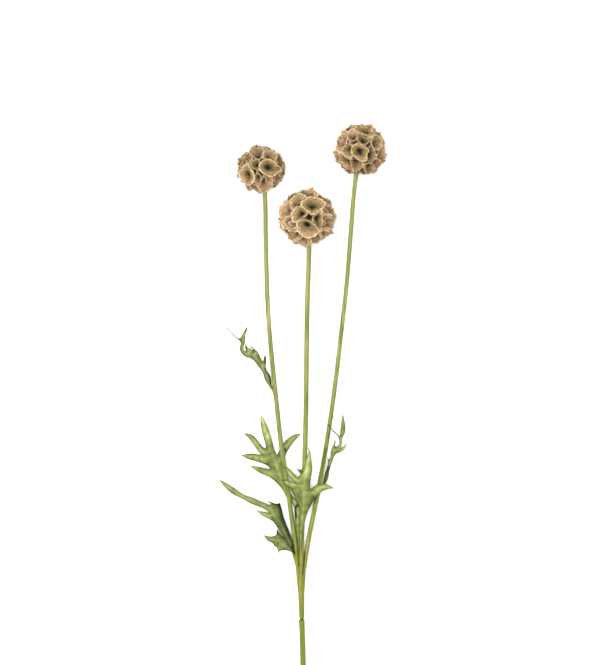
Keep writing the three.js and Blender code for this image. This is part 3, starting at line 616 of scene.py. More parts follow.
def on_globe(across, along):
    """The way from a head's centre to a point that is seen on its upper side."""
    return Vector((across, along, math.sqrt(max(0, 1 - across ** 2 - along ** 2)))).normalized()


def spread_cups(placed, count):
    """The ways that the other cups face, evenly over the rest of the head."""
    golden_angle = math.pi * (3 - math.sqrt(5))
    others = []
    for i in range(count + 1):
        height = 1 - (2 * i + 1) / (count + 1)
        ring = math.sqrt(1 - height * height)
        turn = golden_angle * i
        others.append(Vector((ring * math.sin(turn), height, ring * math.cos(turn))))
    for cup in placed:
        others.remove(max(others, key=cup.dot))
    for _ in range(SPREAD_ROUNDS):
        for cup in others:
            push = Vector()
            for other in placed + others:
                if other is not cup:
                    away = cup - other
                    push += away / away.length_squared ** 2
            cup += push * SPREAD_PUSH
            cup.normalize()
    return others


def drawn_rim(corners):
    """Points round a drawn rim, one for each spoke: its corners are joined by a smooth line."""
    count = len(corners)
    lengths = [(corners[(i + 1) % count] - corners[i]).length for i in range(count)]
    rim = []
    for i in range(CUP_SPOKES):
        left = sum(lengths) * i / CUP_SPOKES
        start = 0
        while left > lengths[start]:
            left -= lengths[start]
            start += 1
        t = left / lengths[start]
        a, b, c, d = (corners[(start + step) % count] for step in (-1, 0, 1, 2))
        bend = (b * 2 + (c - a) * t + (a * 2 - b * 5 + c * 4 - d) * t ** 2
                + (b * 3 - a - c * 3 + d) * t ** 3)
        rim.append(bend.normalized())
    return rim


def sideways(facing):
    """Two directions square to the way that a cup faces, and to each other."""
    across = Vector((0, 0, 1)).cross(facing)
    if across.length < 0.1:
        across = Vector((1, 0, 0))
    across.normalize()
    return across, facing.cross(across)


def spokes_round(facing):
    """The directions of the spokes of a cup, square to the way that it faces."""
    across, along = sideways(facing)
    turns = [2 * math.pi * i / CUP_SPOKES for i in range(CUP_SPOKES)]
    return [across * math.cos(turn) + along * math.sin(turn) for turn in turns]


def spoke_at(turn):
    """The number of the spoke that lies at a turn round the cup."""
    return round(turn / (2 * math.pi) * CUP_SPOKES) % CUP_SPOKES


def way_out(facing, spot):
    """The direction from a cup's axis to a spot on its rim."""
    return (spot - facing * spot.dot(facing)).normalized()


def plain_rim(facing, ways, widest):
    """Points round a rim that runs a little over half way to the neighbours, rounded off."""
    rim = []
    for outward in spokes_round(facing):
        total = widest ** -RIM_SQUARENESS
        for other, overlap in ways:
            lean = outward.dot(other)
            if other is not facing and lean > 0.02:
                half_way = math.atan((1 - facing.dot(other)) / lean)
                total += (overlap * half_way) ** -RIM_SQUARENESS
        reach = total ** (-1 / RIM_SQUARENESS)
        rim.append(facing * math.cos(reach) + outward * math.sin(reach))
    return rim


def cover(facing, rim, lift):
    """What a drawn cup covers: the way that it faces, its reach by turn and how it is lifted."""
    reaches = []
    for outward in spokes_round(facing):
        spot = max(rim, key=lambda spot: outward.dot(way_out(facing, spot)))
        reaches.append(spot.angle(facing))
    return facing, *sideways(facing), reaches, lift


def room_under(spot, covers):
    """How far out a point may stand so that it stays under the drawn cups."""
    room = 2
    for facing, across, along, reaches, lift in covers:
        if spot.dot(facing) < COVERED:
            continue
        turn = math.atan2(spot.dot(along), spot.dot(across))
        share = spot.angle(facing) / reaches[spoke_at(turn)]
        if share > COVER_EDGE:
            continue
        for (inner, low), (outer, high) in zip(cup_profile, cup_profile[1:]):
            if share < outer:
                break
        depth = low + (high - low) * (max(share, inner) - inner) / (outer - inner)
        outside = max(0, share - 1)
        room = min(room, depth + lift * share ** 2 - TUCK + COVER_SLOPE * outside)
    return room


def wave(ring, tightness, place):
    """A smooth wave round a cup, which differs from one place to the next."""
    return noise.noise(ring * tightness + Vector((0, 0, place)))


def bend_to_place(mesh, head, facing, rim, covers, lift, deep, crumple, salt):
    """Bends a copy of the cup, or of its star, to its place on the globe, and crumples it."""
    centre = Vector(head["centre"]) * MM
    radius = head["radius"] * MM
    spokes = [(way_out(facing, spot), spot.angle(facing)) for spot in rim]
    for vertex in mesh.vertices:
        share = math.hypot(vertex.co.x, vertex.co.y)
        turn = math.atan2(vertex.co.y, vertex.co.x)
        outward, reach = spokes[spoke_at(turn)]
        ring = Vector((math.cos(turn), math.sin(turn), 0))
        soft = wave(ring, SOFT_WAVES, salt + 0.6 * share)
        crisp = 0.2 - abs(wave(ring, CRISP_WAVES, salt - 0.4 * share))
        sway = wave(ring, SWAY_WAVES, salt + 50)
        fine = wave(ring, FINE_WAVES, salt + 90)
        push = crumple * share ** 2
        # Each wave's weight is how much of it swings the paper sideways, and how much lifts it.
        angle = reach * share * (1 + push * (1.3 * sway + 0.5 * fine))
        depth = 1 - deep * (1 - vertex.co.z) + share ** 2 * lift
        depth += push * (1.7 * soft + 1.5 * crisp + 0.3 * fine)
        spot = facing * math.cos(angle) + outward * math.sin(angle)
        vertex.co = centre + spot * min(depth, room_under(spot, covers)) * radius
        vertex.co.z = max(vertex.co.z, PRESSED)


def scale_add(material, value, scale, shift, **settings):
    """A value times a scale, plus a shift."""
    inputs = {0: value, 1: scale, 2: shift}
    made = node(material, "Math", inputs, operation="MULTIPLY_ADD", **settings)
    return made.outputs["Value"]


def paper(name, stops, pink_stops, roughness):
    """Dry papery skin: its colour runs from throat to rim, with blotches, veins and pleats."""
    material = new_material(name, roughness)
    place = node(material, "UVMap", {}, uv_map="cup").outputs["UV"]
    share = node(material, "SeparateXYZ", {"Vector": place}).outputs["Y"]
    # The colours wander a little in and out along the cup.
    wander = scale_add(material, mottling(material, (300, 300, 300), 4.0), 0.22, -0.11)
    wandering = scale_add(material, share, 1.0, wander)
    tan = ramp(material, wandering, stops)
    rosy = ramp(material, wandering, pink_stops)
    # Each cup has more or less of the pink, which comes in patches.
    spread = scale_add(material, mottling(material, (170, 170, 170), 2.0), 3.0, -1.5)
    rosiness = scale_add(material, mark(material, "pink"), 1.0, spread, use_clamp=True)
    tinted = blend(material, "MIX", rosiness, tan, rosy)
    inputs = {"Vector": place, "Scale": 10.0, "Distortion": 2.5, "Detail": 2.0, "Detail Scale": 2.0}
    veins = node(material, "TexWave", inputs, wave_type="BANDS", bands_direction="X").outputs["Fac"]
    lined = tinge(material, tinted, veins, [
        (0.0, (0.9, 0.88, 0.85)),
        (0.4, (1.0, 1.0, 1.0)),
    ])
    mottled = tinge(material, lined, mottling(material, (450, 450, 450), 6.0), [
        (0.34, (0.62, 0.60, 0.52)),
        (0.5, (1.0, 1.0, 1.0)),
        (0.66, (1.16, 1.13, 1.12)),
    ])
    # How dark each cup is in its own tone, by its mark.
    shaded_and_toned = blend(material, "MULTIPLY", mark(material, "painted_shade_and_tone"), mottled, (0.3, 0.28, 0.24, 1))
    dress(material, shaded_and_toned, veins, 0.0004)
    return material


cup_inside = paper("cup_inside", [
    (0.13, (0.005, 0.006, 0.005)),
    (0.25, (0.022, 0.027, 0.018)),
    (0.35, (0.075, 0.067, 0.027)),
    (0.48, (0.15, 0.113, 0.042)),
    (0.70, (0.23, 0.158, 0.062)),
    (0.90, (0.28, 0.195, 0.09)),
    (0.98, (0.54, 0.44, 0.25)),
], [
    (0.10, (0.009, 0.008, 0.006)),
    (0.18, (0.08, 0.052, 0.03)),
    (0.32, (0.23, 0.143, 0.08)),
    (0.70, (0.39, 0.246, 0.146)),
    (0.90, (0.46, 0.3, 0.185)),
    (0.98, (0.59, 0.46, 0.29)),
], 0.85)
# Painted shade: the outside darkens to nearly black towards the foot, for the crevices between
# cups.
cup_outside = paper("cup_outside", [
    (0.20, (0.055, 0.036, 0.018)),
    (0.50, (0.12, 0.078, 0.034)),
    (0.80, (0.21, 0.144, 0.065)),
    (0.97, (0.39, 0.30, 0.165)),
], [
    (0.20, (0.065, 0.038, 0.022)),
    (0.50, (0.2, 0.12, 0.067)),
    (0.80, (0.36, 0.226, 0.134)),
    (0.97, (0.49, 0.355, 0.22)),
], 0.85)
cup_rim = paper("cup_rim", [(0.3, (0.5, 0.41, 0.24))], [(0.3, (0.52, 0.4, 0.255))], 0.75)


def plain_dry(name, colour, roughness):
    """A dark dry skin, with a fine grain round its colour."""
    material = new_material(name, roughness)
    grain = mottling(material, (900, 900, 900), 2.0)
    stops = [(0.2, [value * 0.4 for value in colour]), (0.8, [value * 1.6 for value in colour])]
    dress(material, ramp(material, grain, stops), grain, 0.0003)
    return material


# The core's dark brown is partly its own colour and partly painted shade under the cups.
core_brown = plain_dry("core_brown", (0.045, 0.03, 0.015), 0.9)
star_dark = plain_dry("star_dark", (0.015, 0.018, 0.015), 0.7)


def globe_core(centre, radius):
    """The small round seed body in the middle, rough with the feet of the cups."""
    select_only()
    bpy.ops.mesh.primitive_ico_sphere_add(subdivisions=4, radius=radius * CORE, location=centre)
    bpy.ops.object.transform_apply(location=True)
    core = bpy.context.object
    for vertex in core.data.vertices:
        out = (vertex.co - centre).normalized()
        vertex.co += out * noise.noise(vertex.co * 400) * radius * CORE_ROUGHNESS
    core.data.uv_layers[0].name = "cup"
    for name in ("pink", "painted_shade_and_tone"):
        core.data.attributes.new(name, "FLOAT", "POINT")
    return core


def lay_out_cups(head, chance):
    """The cups of a head, each as what mark_cup and bend_to_place take for it."""
    drawn = []
    middles = []
    covers = []
    for throat, pink, dark, lift, corners in head["drawn"]:
        facing = on_globe(*throat)
        corners = [on_globe(*corner) for corner in corners]
        rim = drawn_rim(corners)
        middles.append(sum(corners, Vector()).normalized())
        covers.append(cover(facing, rim, lift))
        drawn.append((facing, rim, [], pink, dark, lift, 1, DRAWN_CRUMPLE))
    given = [on_globe(*way) for way in head["facing"]]
    placed = [Vector(head["stalk"]).normalized()] + middles
    plain = given + spread_cups(placed + given, head["cups"])
    ways = [(way, UNDER_DRAWN) for way in placed] + [(way, UNDER_PLAIN) for way in plain]
    others = []
    for way in plain:
        pink = chance.uniform(*PLAIN_PINK)
        dark = chance.uniform(0, head["darkest"])
        lift = chance.uniform(*PLAIN_LIFT)
        crumple = chance.uniform(*PLAIN_CRUMPLE)
        facing = (way + LEAN * Vector((way.x, way.y, 0))).normalized()
        rim = plain_rim(way, ways, WIDEST_CUP)
        others.append((facing, rim, covers, pink, dark, lift, PLAIN_DEPTH, crumple))
    for place in head["tucked"]:
        way = on_globe(*place)
        rim = plain_rim(way, [], TUCKED_CUP)
        pink = chance.uniform(*TUCKED_PINK)
        others.append((way, rim, covers, pink, TUCKED_DARK, TUCKED_LIFT, 1, TUCKED_CRUMPLE))
    return drawn + others


def join(pieces):
    """Joins the pieces into the first one."""
    select_only(*pieces)
    bpy.ops.object.join()
    return pieces[0]


def build_head(side, head):
    """A whole head: its cups and their stars, bent to their places and joined with the core."""
    chance = random.Random(head["seed"])
    sheets = []
    stars = []
    for facing, rim, above, pink, dark, lift, deep, crumple in lay_out_cups(head, chance):
        salt = chance.uniform(0, 40)
        for model, kept in ((cup, sheets), (star, stars)):
            piece = model.copy()
            piece.data = model.data.copy()
            bpy.context.collection.objects.link(piece)
            mark_cup(piece.data, pink, dark)
            bend_to_place(piece.data, head, facing, rim, above, lift, deep, crumple, salt)
            kept.append(piece)
    globe = join(sheets)
    globe.name = f"{side}_head"
    for material in (cup_inside, cup_outside, cup_rim, star_dark, core_brown):
        globe.data.materials.append(material)
    apply_modifier(globe, "SOLIDIFY", thickness=PAPER, offset=-1, material_offset=1,
                   material_offset_rim=2)
    core = globe_core(Vector(head["centre"]) * MM, head["radius"] * MM)
    for piece, material in [(core, core_brown)] + [(piece, star_dark) for piece in stars]:
        piece.data.materials.clear()
        piece.data.materials.append(material)
    join([globe, core] + stars)
    bpy.ops.object.shade_smooth_by_angle(angle=math.radians(50))
    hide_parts(f"head_{side}")
    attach(globe, "root")


cup = model_cup()
star = model_star()
for side, head in heads.items():
    build_head(side, head)
bpy.data.objects.remove(cup)
bpy.data.objects.remove(star)


# ---- Leaves ----
# Six soft green leaves, cut into long lobes round a pale rib, that grow from the fork and from the
# short stubs. Each is one thin sheet: a strip along its rib, with its lobes drawn out of the
# strip's edge, and then smoothed, rippled and given its thickness.

LEAF_THICKNESS = 0.0006
LEAF_ARCH = 0.08  # how far the rib stands over the edges, in parts of the half width
LEAF_RIPPLE = 0.0004
RIB_RISE = 0.00025
SMOOTHING = 3
LOST_BY_SMOOTHING = 1.12  # how much wider the rows are laid, because smoothing draws them in
MM_PER_CM = 10

# Rows of (x, y, z, left, right) in millimetres: a point of the rib and how far the blade reaches
# to each side of it, with the tip last. A lobe grows out of three points of the leaf's edge, and
# its number is the row of the middle one.
leaves = {
    "leaf_a": {
        "spine": [
            (-26.6, 39.4, 16.95, 0.6, 0.6), (-29.1, 45.5, 15.7, 2.2, 2.6),
            (-30.3, 48.8, 15.9, 2.2, 2.7), (-31.9, 52.2, 16.1, 1.4, 1.8),
            (-33.3, 54.8, 16.3, 1.5, 2), (-34.7, 57.3, 16.5, 2, 3.4), (-36.2, 59.7, 16.5, 2, 2.6),
            (-38.1, 62.5, 16.5, 2.2, 2.7), (-40.2, 65.2, 16.4, 2.7, 3.8),
            (-41.4, 66.3, 16.3, 2.8, 4.6), (-42.6, 67.2, 16.2, 2.9, 3.7),
            (-45.6, 68.1, 15.8, 2.9, 3.1), (-48.6, 68.4, 15.4, 2.5, 1.6),
            (-50.9, 70.1, 15.1, 1.6, 0.8), (-51.6, 72.7, 15, 2.1, 1.2), (-51.1, 75.4, 15, 1.1, 1.3),
            (-50.6, 78.1, 15.1, 1.7, 1.7), (-50.5, 79.8, 15.2, 1.6, 1.6),
            (-50.4, 81.7, 15.4, 1.5, 1.5), (-49.7, 84.3, 15.7, 1.3, 1),
            (-48.4, 87.3, 16.3, 0.8, 0.7), (-47.3, 89.6, 16.9, 0.6, 0.6), (-46.4, 91.4, 17.6, 0, 0),
        ],
        "lobes": [
            ("right", 5, [
                (-31.9, 62.2, 17.2, 1.1, 1), (-31.8, 65, 17.8, 0.8, 0.8), (-31.7, 67.4, 18.4, 0, 0),
            ]),
            ("right", 9, [
                (-40.7, 71.7, 16.6, 0.6, 0.6), (-43.1, 73.4, 16.8, 0.5, 0.5),
                (-45.4, 74.8, 17, 0, 0),
            ]),
            ("right", 11, [
                (-47.1, 72, 16, 1, 1), (-48.1, 74, 16.2, 0.8, 0.8), (-48.3, 76.3, 16.6, 0, 0),
            ]),
            ("left", 17, [
                (-53.8, 80.1, 15, 0.4, 0.4), (-57.2, 82.4, 14.4, 0.4, 0.4),
                (-60.2, 85.8, 13.8, 0.4, 0.4), (-64.7, 90.5, 13.2, 0, 0),
            ]),
        ],
    },
    "leaf_b": {
        "spine": [
            (-2.9, -95, 4.3, 0.9, 0.9), (-4.1, -81.8, 4.4, 1.6, 2.2), (-4.2, -69.9, 4.5, 2.2, 2.8),
            (-4.1, -63.1, 4.7, 2.2, 2.4), (-6.5, -58, 4.9, 2, 2.2), (-10.3, -54.2, 5.1, 3, 1.3),
            (-13.3, -49.5, 5.2, 2.2, 2), (-15.4, -45.3, 5.3, 2.3, 3.2),
            (-17.2, -41.5, 5.4, 3.8, 4.5), (-18.8, -37.2, 5.5, 5.4, 5.4),
            (-20.2, -33, 5.6, 6.2, 5.9), (-21.4, -28.7, 5.6, 5.5, 6), (-22.6, -24.9, 5.5, 6, 4.8),
            (-24.3, -19.8, 5.4, 6, 2.3), (-25.4, -15.5, 5.3, 8.8, 1.9), (-26.4, -14.1, 5.2, 6, 2.1),
            (-27.1, -12.4, 5.1, 3.3, 2.3), (-28.2, -7.9, 4.8, 3, 2.4), (-30.1, -0.7, 4.6, 3.4, 2.4),
            (-32.4, 6.3, 5, 2.8, 2.2), (-34.2, 11.4, 5.8, 1.5, 1.6), (-35, 13.7, 6.4, 0.8, 0.8),
            (-35.3, 15.2, 7, 0, 0),
        ],
        "lobes": [
            ("left", 10, [
                (-29.7, -32.8, 5.3, 2.7, 2.7), (-34, -31.7, 4.9, 2.5, 2.2),
                (-38.6, -30, 4.4, 1.7, 1.9), (-42, -28.6, 4, 1, 0.8), (-44.5, -27.4, 3.6, 0, 0),
            ]),
            ("left", 13, [
                (-36.7, -21.3, 4.7, 2.7, 3), (-42, -20, 4.1, 2.5, 2.8), (-46.9, -19.2, 4.2, 2, 1.9),
                (-49.9, -18.7, 4.6, 1.1, 0.9), (-52.2, -18.4, 5, 0, 0),
            ]),
            ("left", 15, [
                (-36.4, -13.2, 4.6, 1.9, 2.5), (-39.7, -8.3, 4.2, 2, 2.4),
                (-43.3, -3.6, 4.6, 2, 2.5), (-47.1, -1.1, 5.4, 0.8, 1.5), (-50.3, -0.1, 6.4, 0, 0),
            ]),
            ("right", 12, [
                (-18, -18.3, 5.4, 2.8, 2.8), (-16, -13.7, 5.7, 3.1, 2.8),
                (-13.1, -9.2, 6.3, 2.7, 3), (-9.5, -5.5, 7, 2.8, 2.2), (-5.5, -2.4, 8, 2, 1.5),
                (-3.1, -0.9, 8.6, 0.8, 0.8), (-1.5, -0.2, 9, 0, 0),
            ]),
        ],
    },
    "leaf_c": {
        "spine": [
            (-1.8, -101.5, 10.1, 0.5, 0.5), (-1.7, -86.9, 11.8, 1.4, 1.4),
            (-0.6, -75.9, 12.7, 1.8, 2), (0.2, -67.8, 13.2, 2.2, 3.1), (0.7, -61.9, 13.7, 2.7, 5.1),
            (0.8, -57.6, 14, 5.4, 7.3), (0.8, -53.8, 14.2, 6.5, 8.9), (0.9, -50, 14.5, 8.7, 7.6),
            (1, -47.2, 14.7, 9.8, 4.8), (1.3, -44.9, 14.9, 6.8, 4.4), (1.6, -43.2, 15, 6.1, 4.3),
            (1.9, -40.6, 15.2, 5.5, 4.3), (2.3, -38.1, 15.4, 5.1, 4.2),
            (2.8, -35.1, 15.6, 3.7, 4.1), (3.2, -33, 15.8, 3.4, 4.2), (3.5, -30.7, 16, 3.2, 4.2),
            (4.1, -27, 16.3, 2.2, 3.8), (5, -21.9, 16.7, 2, 2.4), (5.4, -19.2, 16.9, 1.6, 1.8),
            (6.1, -16.6, 17.1, 0.6, 0.8), (5.7, -14.3, 17.3, 0.5, 0.6), (4.8, -11.9, 17.6, 0, 0),
        ],
        "lobes": [
            ("right", 7, [
                (11.3, -48.5, 12.6, 3.6, 3.7), (15.2, -45.5, 12.1, 3.1, 3.1),
                (19.4, -45.1, 11.8, 2.2, 2.3), (23.2, -45.5, 11.4, 1.3, 1.3),
                (26.8, -46.5, 11, 0, 0),
            ]),
            ("left", 9, [
                (-10.6, -43.4, 13.8, 2.4, 2.5), (-13.6, -41.3, 13.3, 2, 1.7),
                (-18.2, -38.9, 12.8, 0, 0),
            ]),
            ("left", 11, [
                (-7.2, -37.9, 14.4, 2.2, 2.2), (-10.6, -33.6, 13.9, 2.1, 2.3),
                (-13.3, -30.4, 13.6, 1.7, 1.6), (-15.9, -27.6, 13.4, 0, 0),
            ]),
            ("left", 14, [
                (-2.4, -31.7, 15.6, 1, 0.9), (-4.9, -29.2, 15.4, 0, 0),
            ]),
        ],
    },
    "leaf_d": {
        "spine": [
            (-6.7, -103, 7.5, 0.5, 0.5), (-9.3, -95, 8.3, 1.7, 1.8), (-11.8, -89.5, 8.4, 2.2, 2.5),
            (-14.6, -84, 8.2, 3.3, 3.1), (-18.2, -77.6, 7.8, 3.6, 3.9),
            (-21.2, -72.1, 7.4, 3.7, 4.8), (-23.9, -67.9, 7, 5.1, 6.1),
            (-26.3, -65.5, 6.6, 3.1, 6.3), (-27.4, -64.8, 6.4, 2.2, 3.9),
            (-29, -64.1, 6.2, 1.5, 2.9), (-33.1, -61.9, 5.6, 1.4, 2.9),
            (-38.6, -59.2, 5.1, 2.2, 2.3), (-43.7, -56.7, 4.8, 2.5, 2.4),
            (-48, -54.8, 4.6, 1.7, 1.6), (-52.2, -52.7, 4.5, 1.9, 1.3),
            (-56.9, -50.1, 4.3, 2.4, 2.1), (-62, -46.7, 4, 2.1, 2.1), (-66.3, -43.3, 3.6, 1.4, 1.4),
            (-69.1, -40.8, 3.3, 0.8, 0.8), (-70.7, -39, 3, 0, 0),
        ],
        "lobes": [
            ("left", 6, [
                (-31.6, -68.5, 6.2, 2.1, 2), (-35.4, -67.6, 5.4, 1.3, 1.1),
                (-37.8, -66.1, 5, 0.7, 0.6), (-40, -64.2, 4.6, 0, 0),
            ]),
            ("right", 6, [
                (-19.5, -58.9, 9, 0, 0),
            ]),
            ("right", 8, [
                (-25.6, -59.4, 8.4, 0.4, 0.4), (-28.6, -57.7, 8.2, 0.4, 0.4),
                (-31.8, -56.1, 8, 0, 0),
            ]),
        ],
    },
    "leaf_e": {
        "spine": [
            (-8, -100.8, 4.7, 0.6, 0.6), (-11, -98, 4.2, 1.6, 2.2), (-14.8, -95.4, 3.8, 3.9, 4.3),
            (-18.4, -93.1, 3.5, 5, 4.9), (-20.1, -92.1, 3.4, 4, 4.6), (-21.8, -91.2, 3.2, 3.7, 4.4),
            (-23.9, -90.6, 3.1, 2.6, 2.6), (-28.9, -89.5, 2.8, 2.1, 1.6),
            (-31.3, -88, 2.6, 0.9, 0.8), (-33, -86.6, 2.4, 0, 0),
        ],
        "lobes": [
            ("right", 5, [
                (-20.6, -84.9, 3.6, 1.1, 1.1), (-22.2, -81, 3.9, 0, 0),
            ]),
            ("left", 3, [
                (-20.2, -99.5, 3, 1.4, 0.6), (-21.1, -101.9, 2.4, 0, 0),
            ]),
            ("left", 5, [
                (-23.9, -96.3, 2.8, 0, 0),
            ]),
        ],
    },
    "leaf_f": {
        "spine": [
            (18, -43, 10.3, 0.9, 0.9), (19.8, -38.9, 11.1, 1.6, 1.6), (20.8, -35.1, 11.4, 1.7, 1.4),
            (21.3, -32.1, 11.6, 1.3, 1.1), (22.4, -28.7, 12, 1.3, 1.2),
            (23.1, -25.7, 12.3, 1.2, 1.1), (23.7, -23.6, 12.5, 1, 1.4),
            (24.3, -21.7, 12.7, 0.8, 1.4), (25.5, -18.5, 13.1, 1.3, 1.4),
            (26.5, -15.8, 13.5, 2.5, 1.7), (27.8, -13.7, 13.8, 2.8, 3.4),
            (29.6, -12.6, 14.1, 1.5, 3.4), (31.4, -11.2, 14.4, 1.3, 1.7), (32.1, -9, 14.6, 0.9, 1),
            (32.8, -6, 14.9, 0.9, 0.9), (32.8, -3.6, 15, 0.9, 0.9), (33, -1.9, 15, 1, 1.4),
            (33.8, 1.5, 14.6, 1.6, 2.4), (34.4, 5.7, 13.9, 1.5, 2), (34.5, 10.4, 13, 1.2, 1.2),
            (34.5, 14, 12.3, 0.8, 0.8), (34.2, 16.7, 11.7, 0, 0),
        ],
        "lobes": [
            ("left", 6, [
                (22.1, -22.6, 13, 0.4, 0.3), (21.2, -20.1, 13.4, 0, 0),
            ]),
            ("left", 10, [
                (26.5, -10.1, 14.4, 0.5, 0.6), (27.5, -8.1, 14.8, 0.5, 0.5),
                (28, -6.4, 15.2, 0.5, 0.5), (26.5, -4.6, 15.6, 0, 0),
            ]),
            ("right", 11, [
                (33.8, -13.2, 13.4, 1.4, 1.3), (35.9, -11.5, 12.6, 0.8, 0.8),
                (36.7, -9.6, 12.1, 0.6, 0.6), (38.1, -7.8, 11.6, 0, 0),
            ]),
            ("left", 15, [
                (31, -2.1, 15.3, 0.6, 0.6), (28.9, -0.1, 15.4, 0.4, 0.4),
                (25.5, 3.2, 15.4, 0.4, 0.4), (21.6, 8.2, 15.2, 0, 0),
            ]),
        ],
    },
}

# Painted shade on the folds and curled edges, and darker tips and stretches of the blades, each as
# (radius, strength, [(x, y), ...]).
leaf_shade = {
    "leaf_a": [
        (0.9, 1, [(-27.2, 42.3), (-27.6, 47.4), (-28.9, 50.8), (-30.6, 53.3), (-31.9, 55.4)]),
        (1.1, 0.9, [(-31.9, 60), (-31.7, 67.4)]),
        (1.0, 0.8, [(-48.6, 86.5), (-46.4, 91.4)]),
        (0.7, 0.8, [(-52.5, 80), (-57.2, 82.4), (-64.7, 90.5)]),
        (0.7, 0.9, [(-41, 70.5), (-45.4, 74.8)]),
        (0.7, 0.9, [(-47.5, 72.5), (-48.3, 76.3)]),
        (4.0, 0.42, [(-28, 42), (-36, 60), (-42, 67)]),
        (2.5, 0.35, [(-45, 67), (-51.5, 72), (-50, 82)]),
    ],
    "leaf_b": [
        (1.1, 1, [(-4.4, -61), (-5.8, -63.1), (-6.2, -65.7), (-5.9, -68.2), (-5.3, -71.2)]),
        (1.1, 0.9, [(-14.8, -13), (-12.3, -18.1)]),
        (8.0, 0.4, [(-18, -37), (-23, -22), (-26, -12)]),
        (1.5, 0.6, [(-27, -24), (-36, -29)]),
        (1.5, 0.5, [(-30, -16), (-29, -6)]),
        (1.3, 0.6, [(-16, -40), (-9, -56)]),
        (4.0, 0.15, [(-45, -28), (-30, -32), (-50, -18), (-34, -14), (-48, -2)]),
        (3.0, 0.2, [(-16, -14), (-5, -3)]),
    ],
    "leaf_c": [
        (1.3, 0.9, [(-4.7, -29.1), (-0.4, -32.5)]),
        (1.6, 0.6, [(-3.5, -53), (-1.5, -57)]),
        (1.2, 0.5, [(-0.4, -40), (0.3, -46), (-1, -50)]),
        (6.0, 0.42, [(0.4, -64), (1.5, -44)]),
        (1.4, 0.55, [(5.5, -62), (8.5, -53)]),
        (2.0, 0.4, [(-2, -99), (-0.5, -74)]),
    ],
    "leaf_d": [
        (3.2, 1, [(-20.2, -59.5), (-17.2, -70.8), (-12.8, -81.8), (-8.4, -90.3), (-7.2, -100.5)]),
        (0.7, 1, [(-25, -60), (-31.8, -56.1)]),
        (6.0, 0.68, [(-21, -62), (-14, -83), (-9, -97)]),
        (4.0, 0.2, [(-69, -41), (-45, -56), (-28, -64)]),
        (1.0, 0.6, [(-26, -71), (-18, -82), (-10, -96)]),
    ],
    "leaf_e": [
        (1.2, 0.9, [(-22.5, -80.5), (-20.5, -86)]),
        (6.0, 0.45, [(-27, -91), (-18, -94), (-9, -100)]),
        (1.2, 0.6, [(-20, -86), (-9, -99.5)]),
    ],
    "leaf_f": [
        (1.6, 0.9, [(18.3, -43.5), (19.5, -38), (20.6, -33), (22, -28.5)]),
        (0.6, 0.9, [(27.5, -8.1), (28, -6.4), (26.5, -4.6)]),
        (0.6, 0.9, [(28.9, -0.1), (25.5, 3.2), (21.6, 8.2)]),
        (0.6, 0.9, [(22.1, -22.6), (21.2, -20.1)]),
        (1.2, 0.4, [(24, -23), (27, -16)]),
        (3.0, 0.45, [(20, -38), (27, -15), (34, 8)]),
    ],
}

# Painted light on the lobes that catch more light, in the same form.
leaf_painted_light = {
    "leaf_b": [(4.0, 1, [(-28.5, -5), (-34.5, 13)])],
    "leaf_c": [(3.0, 0.5, [(3.5, -31), (5.5, -19)])],
}


def leaf_skin():
    """Matt leaf green: paler ribs and lobe centres, a thin dark edge, fine slanting veins."""
    material = new_material("leaf_skin", 0.6)
    rib = mark(material, "rib")
    across = ramp(material, rib, [
        (0.0, (0.03, 0.042, 0.009)),
        (0.09, (0.06, 0.083, 0.017)),
        (0.27, (0.134, 0.167, 0.041)),
        (0.53, (0.175, 0.209, 0.057)),
        (0.83, (0.206, 0.239, 0.072)),
        (1.0, (0.3, 0.328, 0.125)),
    ])
    mottled = tinge(material, across, mottling(material, (210, 210, 210), 6.0), [
        (0.36, (0.66, 0.71, 0.58)),
        (0.5, (0.98, 0.985, 0.95)),
        (0.64, (1.25, 1.19, 1.21)),
    ])
    # Painted light: the lobes that catch more light are made paler and a little bluer.
    lit = blend(material, "MULTIPLY", mark(material, "painted_light"), mottled, (1.45, 1.36, 1.65, 1))
    tipped = blend(material, "MIX", mark(material, "tip"), lit, (0.055, 0.06, 0.02, 1))
    # Painted shade on the folds and curled edges, and darker tips and stretches where that mark is
    # written.
    shaded_and_toned = blend(material, "MULTIPLY", mark(material, "painted_shade_and_tone"), tipped, (0.1, 0.13, 0.03, 1))
    slant = scale_add(material, rib, -0.55, mark(material, "along"))
    bands = node(material, "CombineXYZ", {"X": slant}).outputs["Vector"]
    veins = node(material, "TexWave", {"Vector": bands, "Scale": 1.3, "Distortion": 2.5})
    dress(material, shaded_and_toned, veins.outputs["Fac"], 0.00012)
    return material


def across_row(row, behind, ahead):
    """The three points of a row: its left edge, its rib and its right edge."""
    rib = Vector(row[:3])
    left, right = (reach * LOST_BY_SMOOTHING for reach in row[3:])
    side = Vector((behind[1] - ahead[1], ahead[0] - behind[0], 0)).normalized()
    low = Vector((0, 0, LEAF_ARCH))
    left_edge = rib + side * left - low * left
    right_edge = rib - side * right - low * right
    return [left_edge * MM, rib * MM, right_edge * MM]


def pick(sheet, spots):
    """Selects the points nearest to the spots, and the edges between them, and nothing else."""
    for vertex in sheet.verts:
        vertex.select = False
    sheet.select_flush(False)
    for spot in spots:
        min(sheet.verts, key=lambda vertex: (vertex.co - spot).length_squared).select = True
    sheet.select_flush(True)


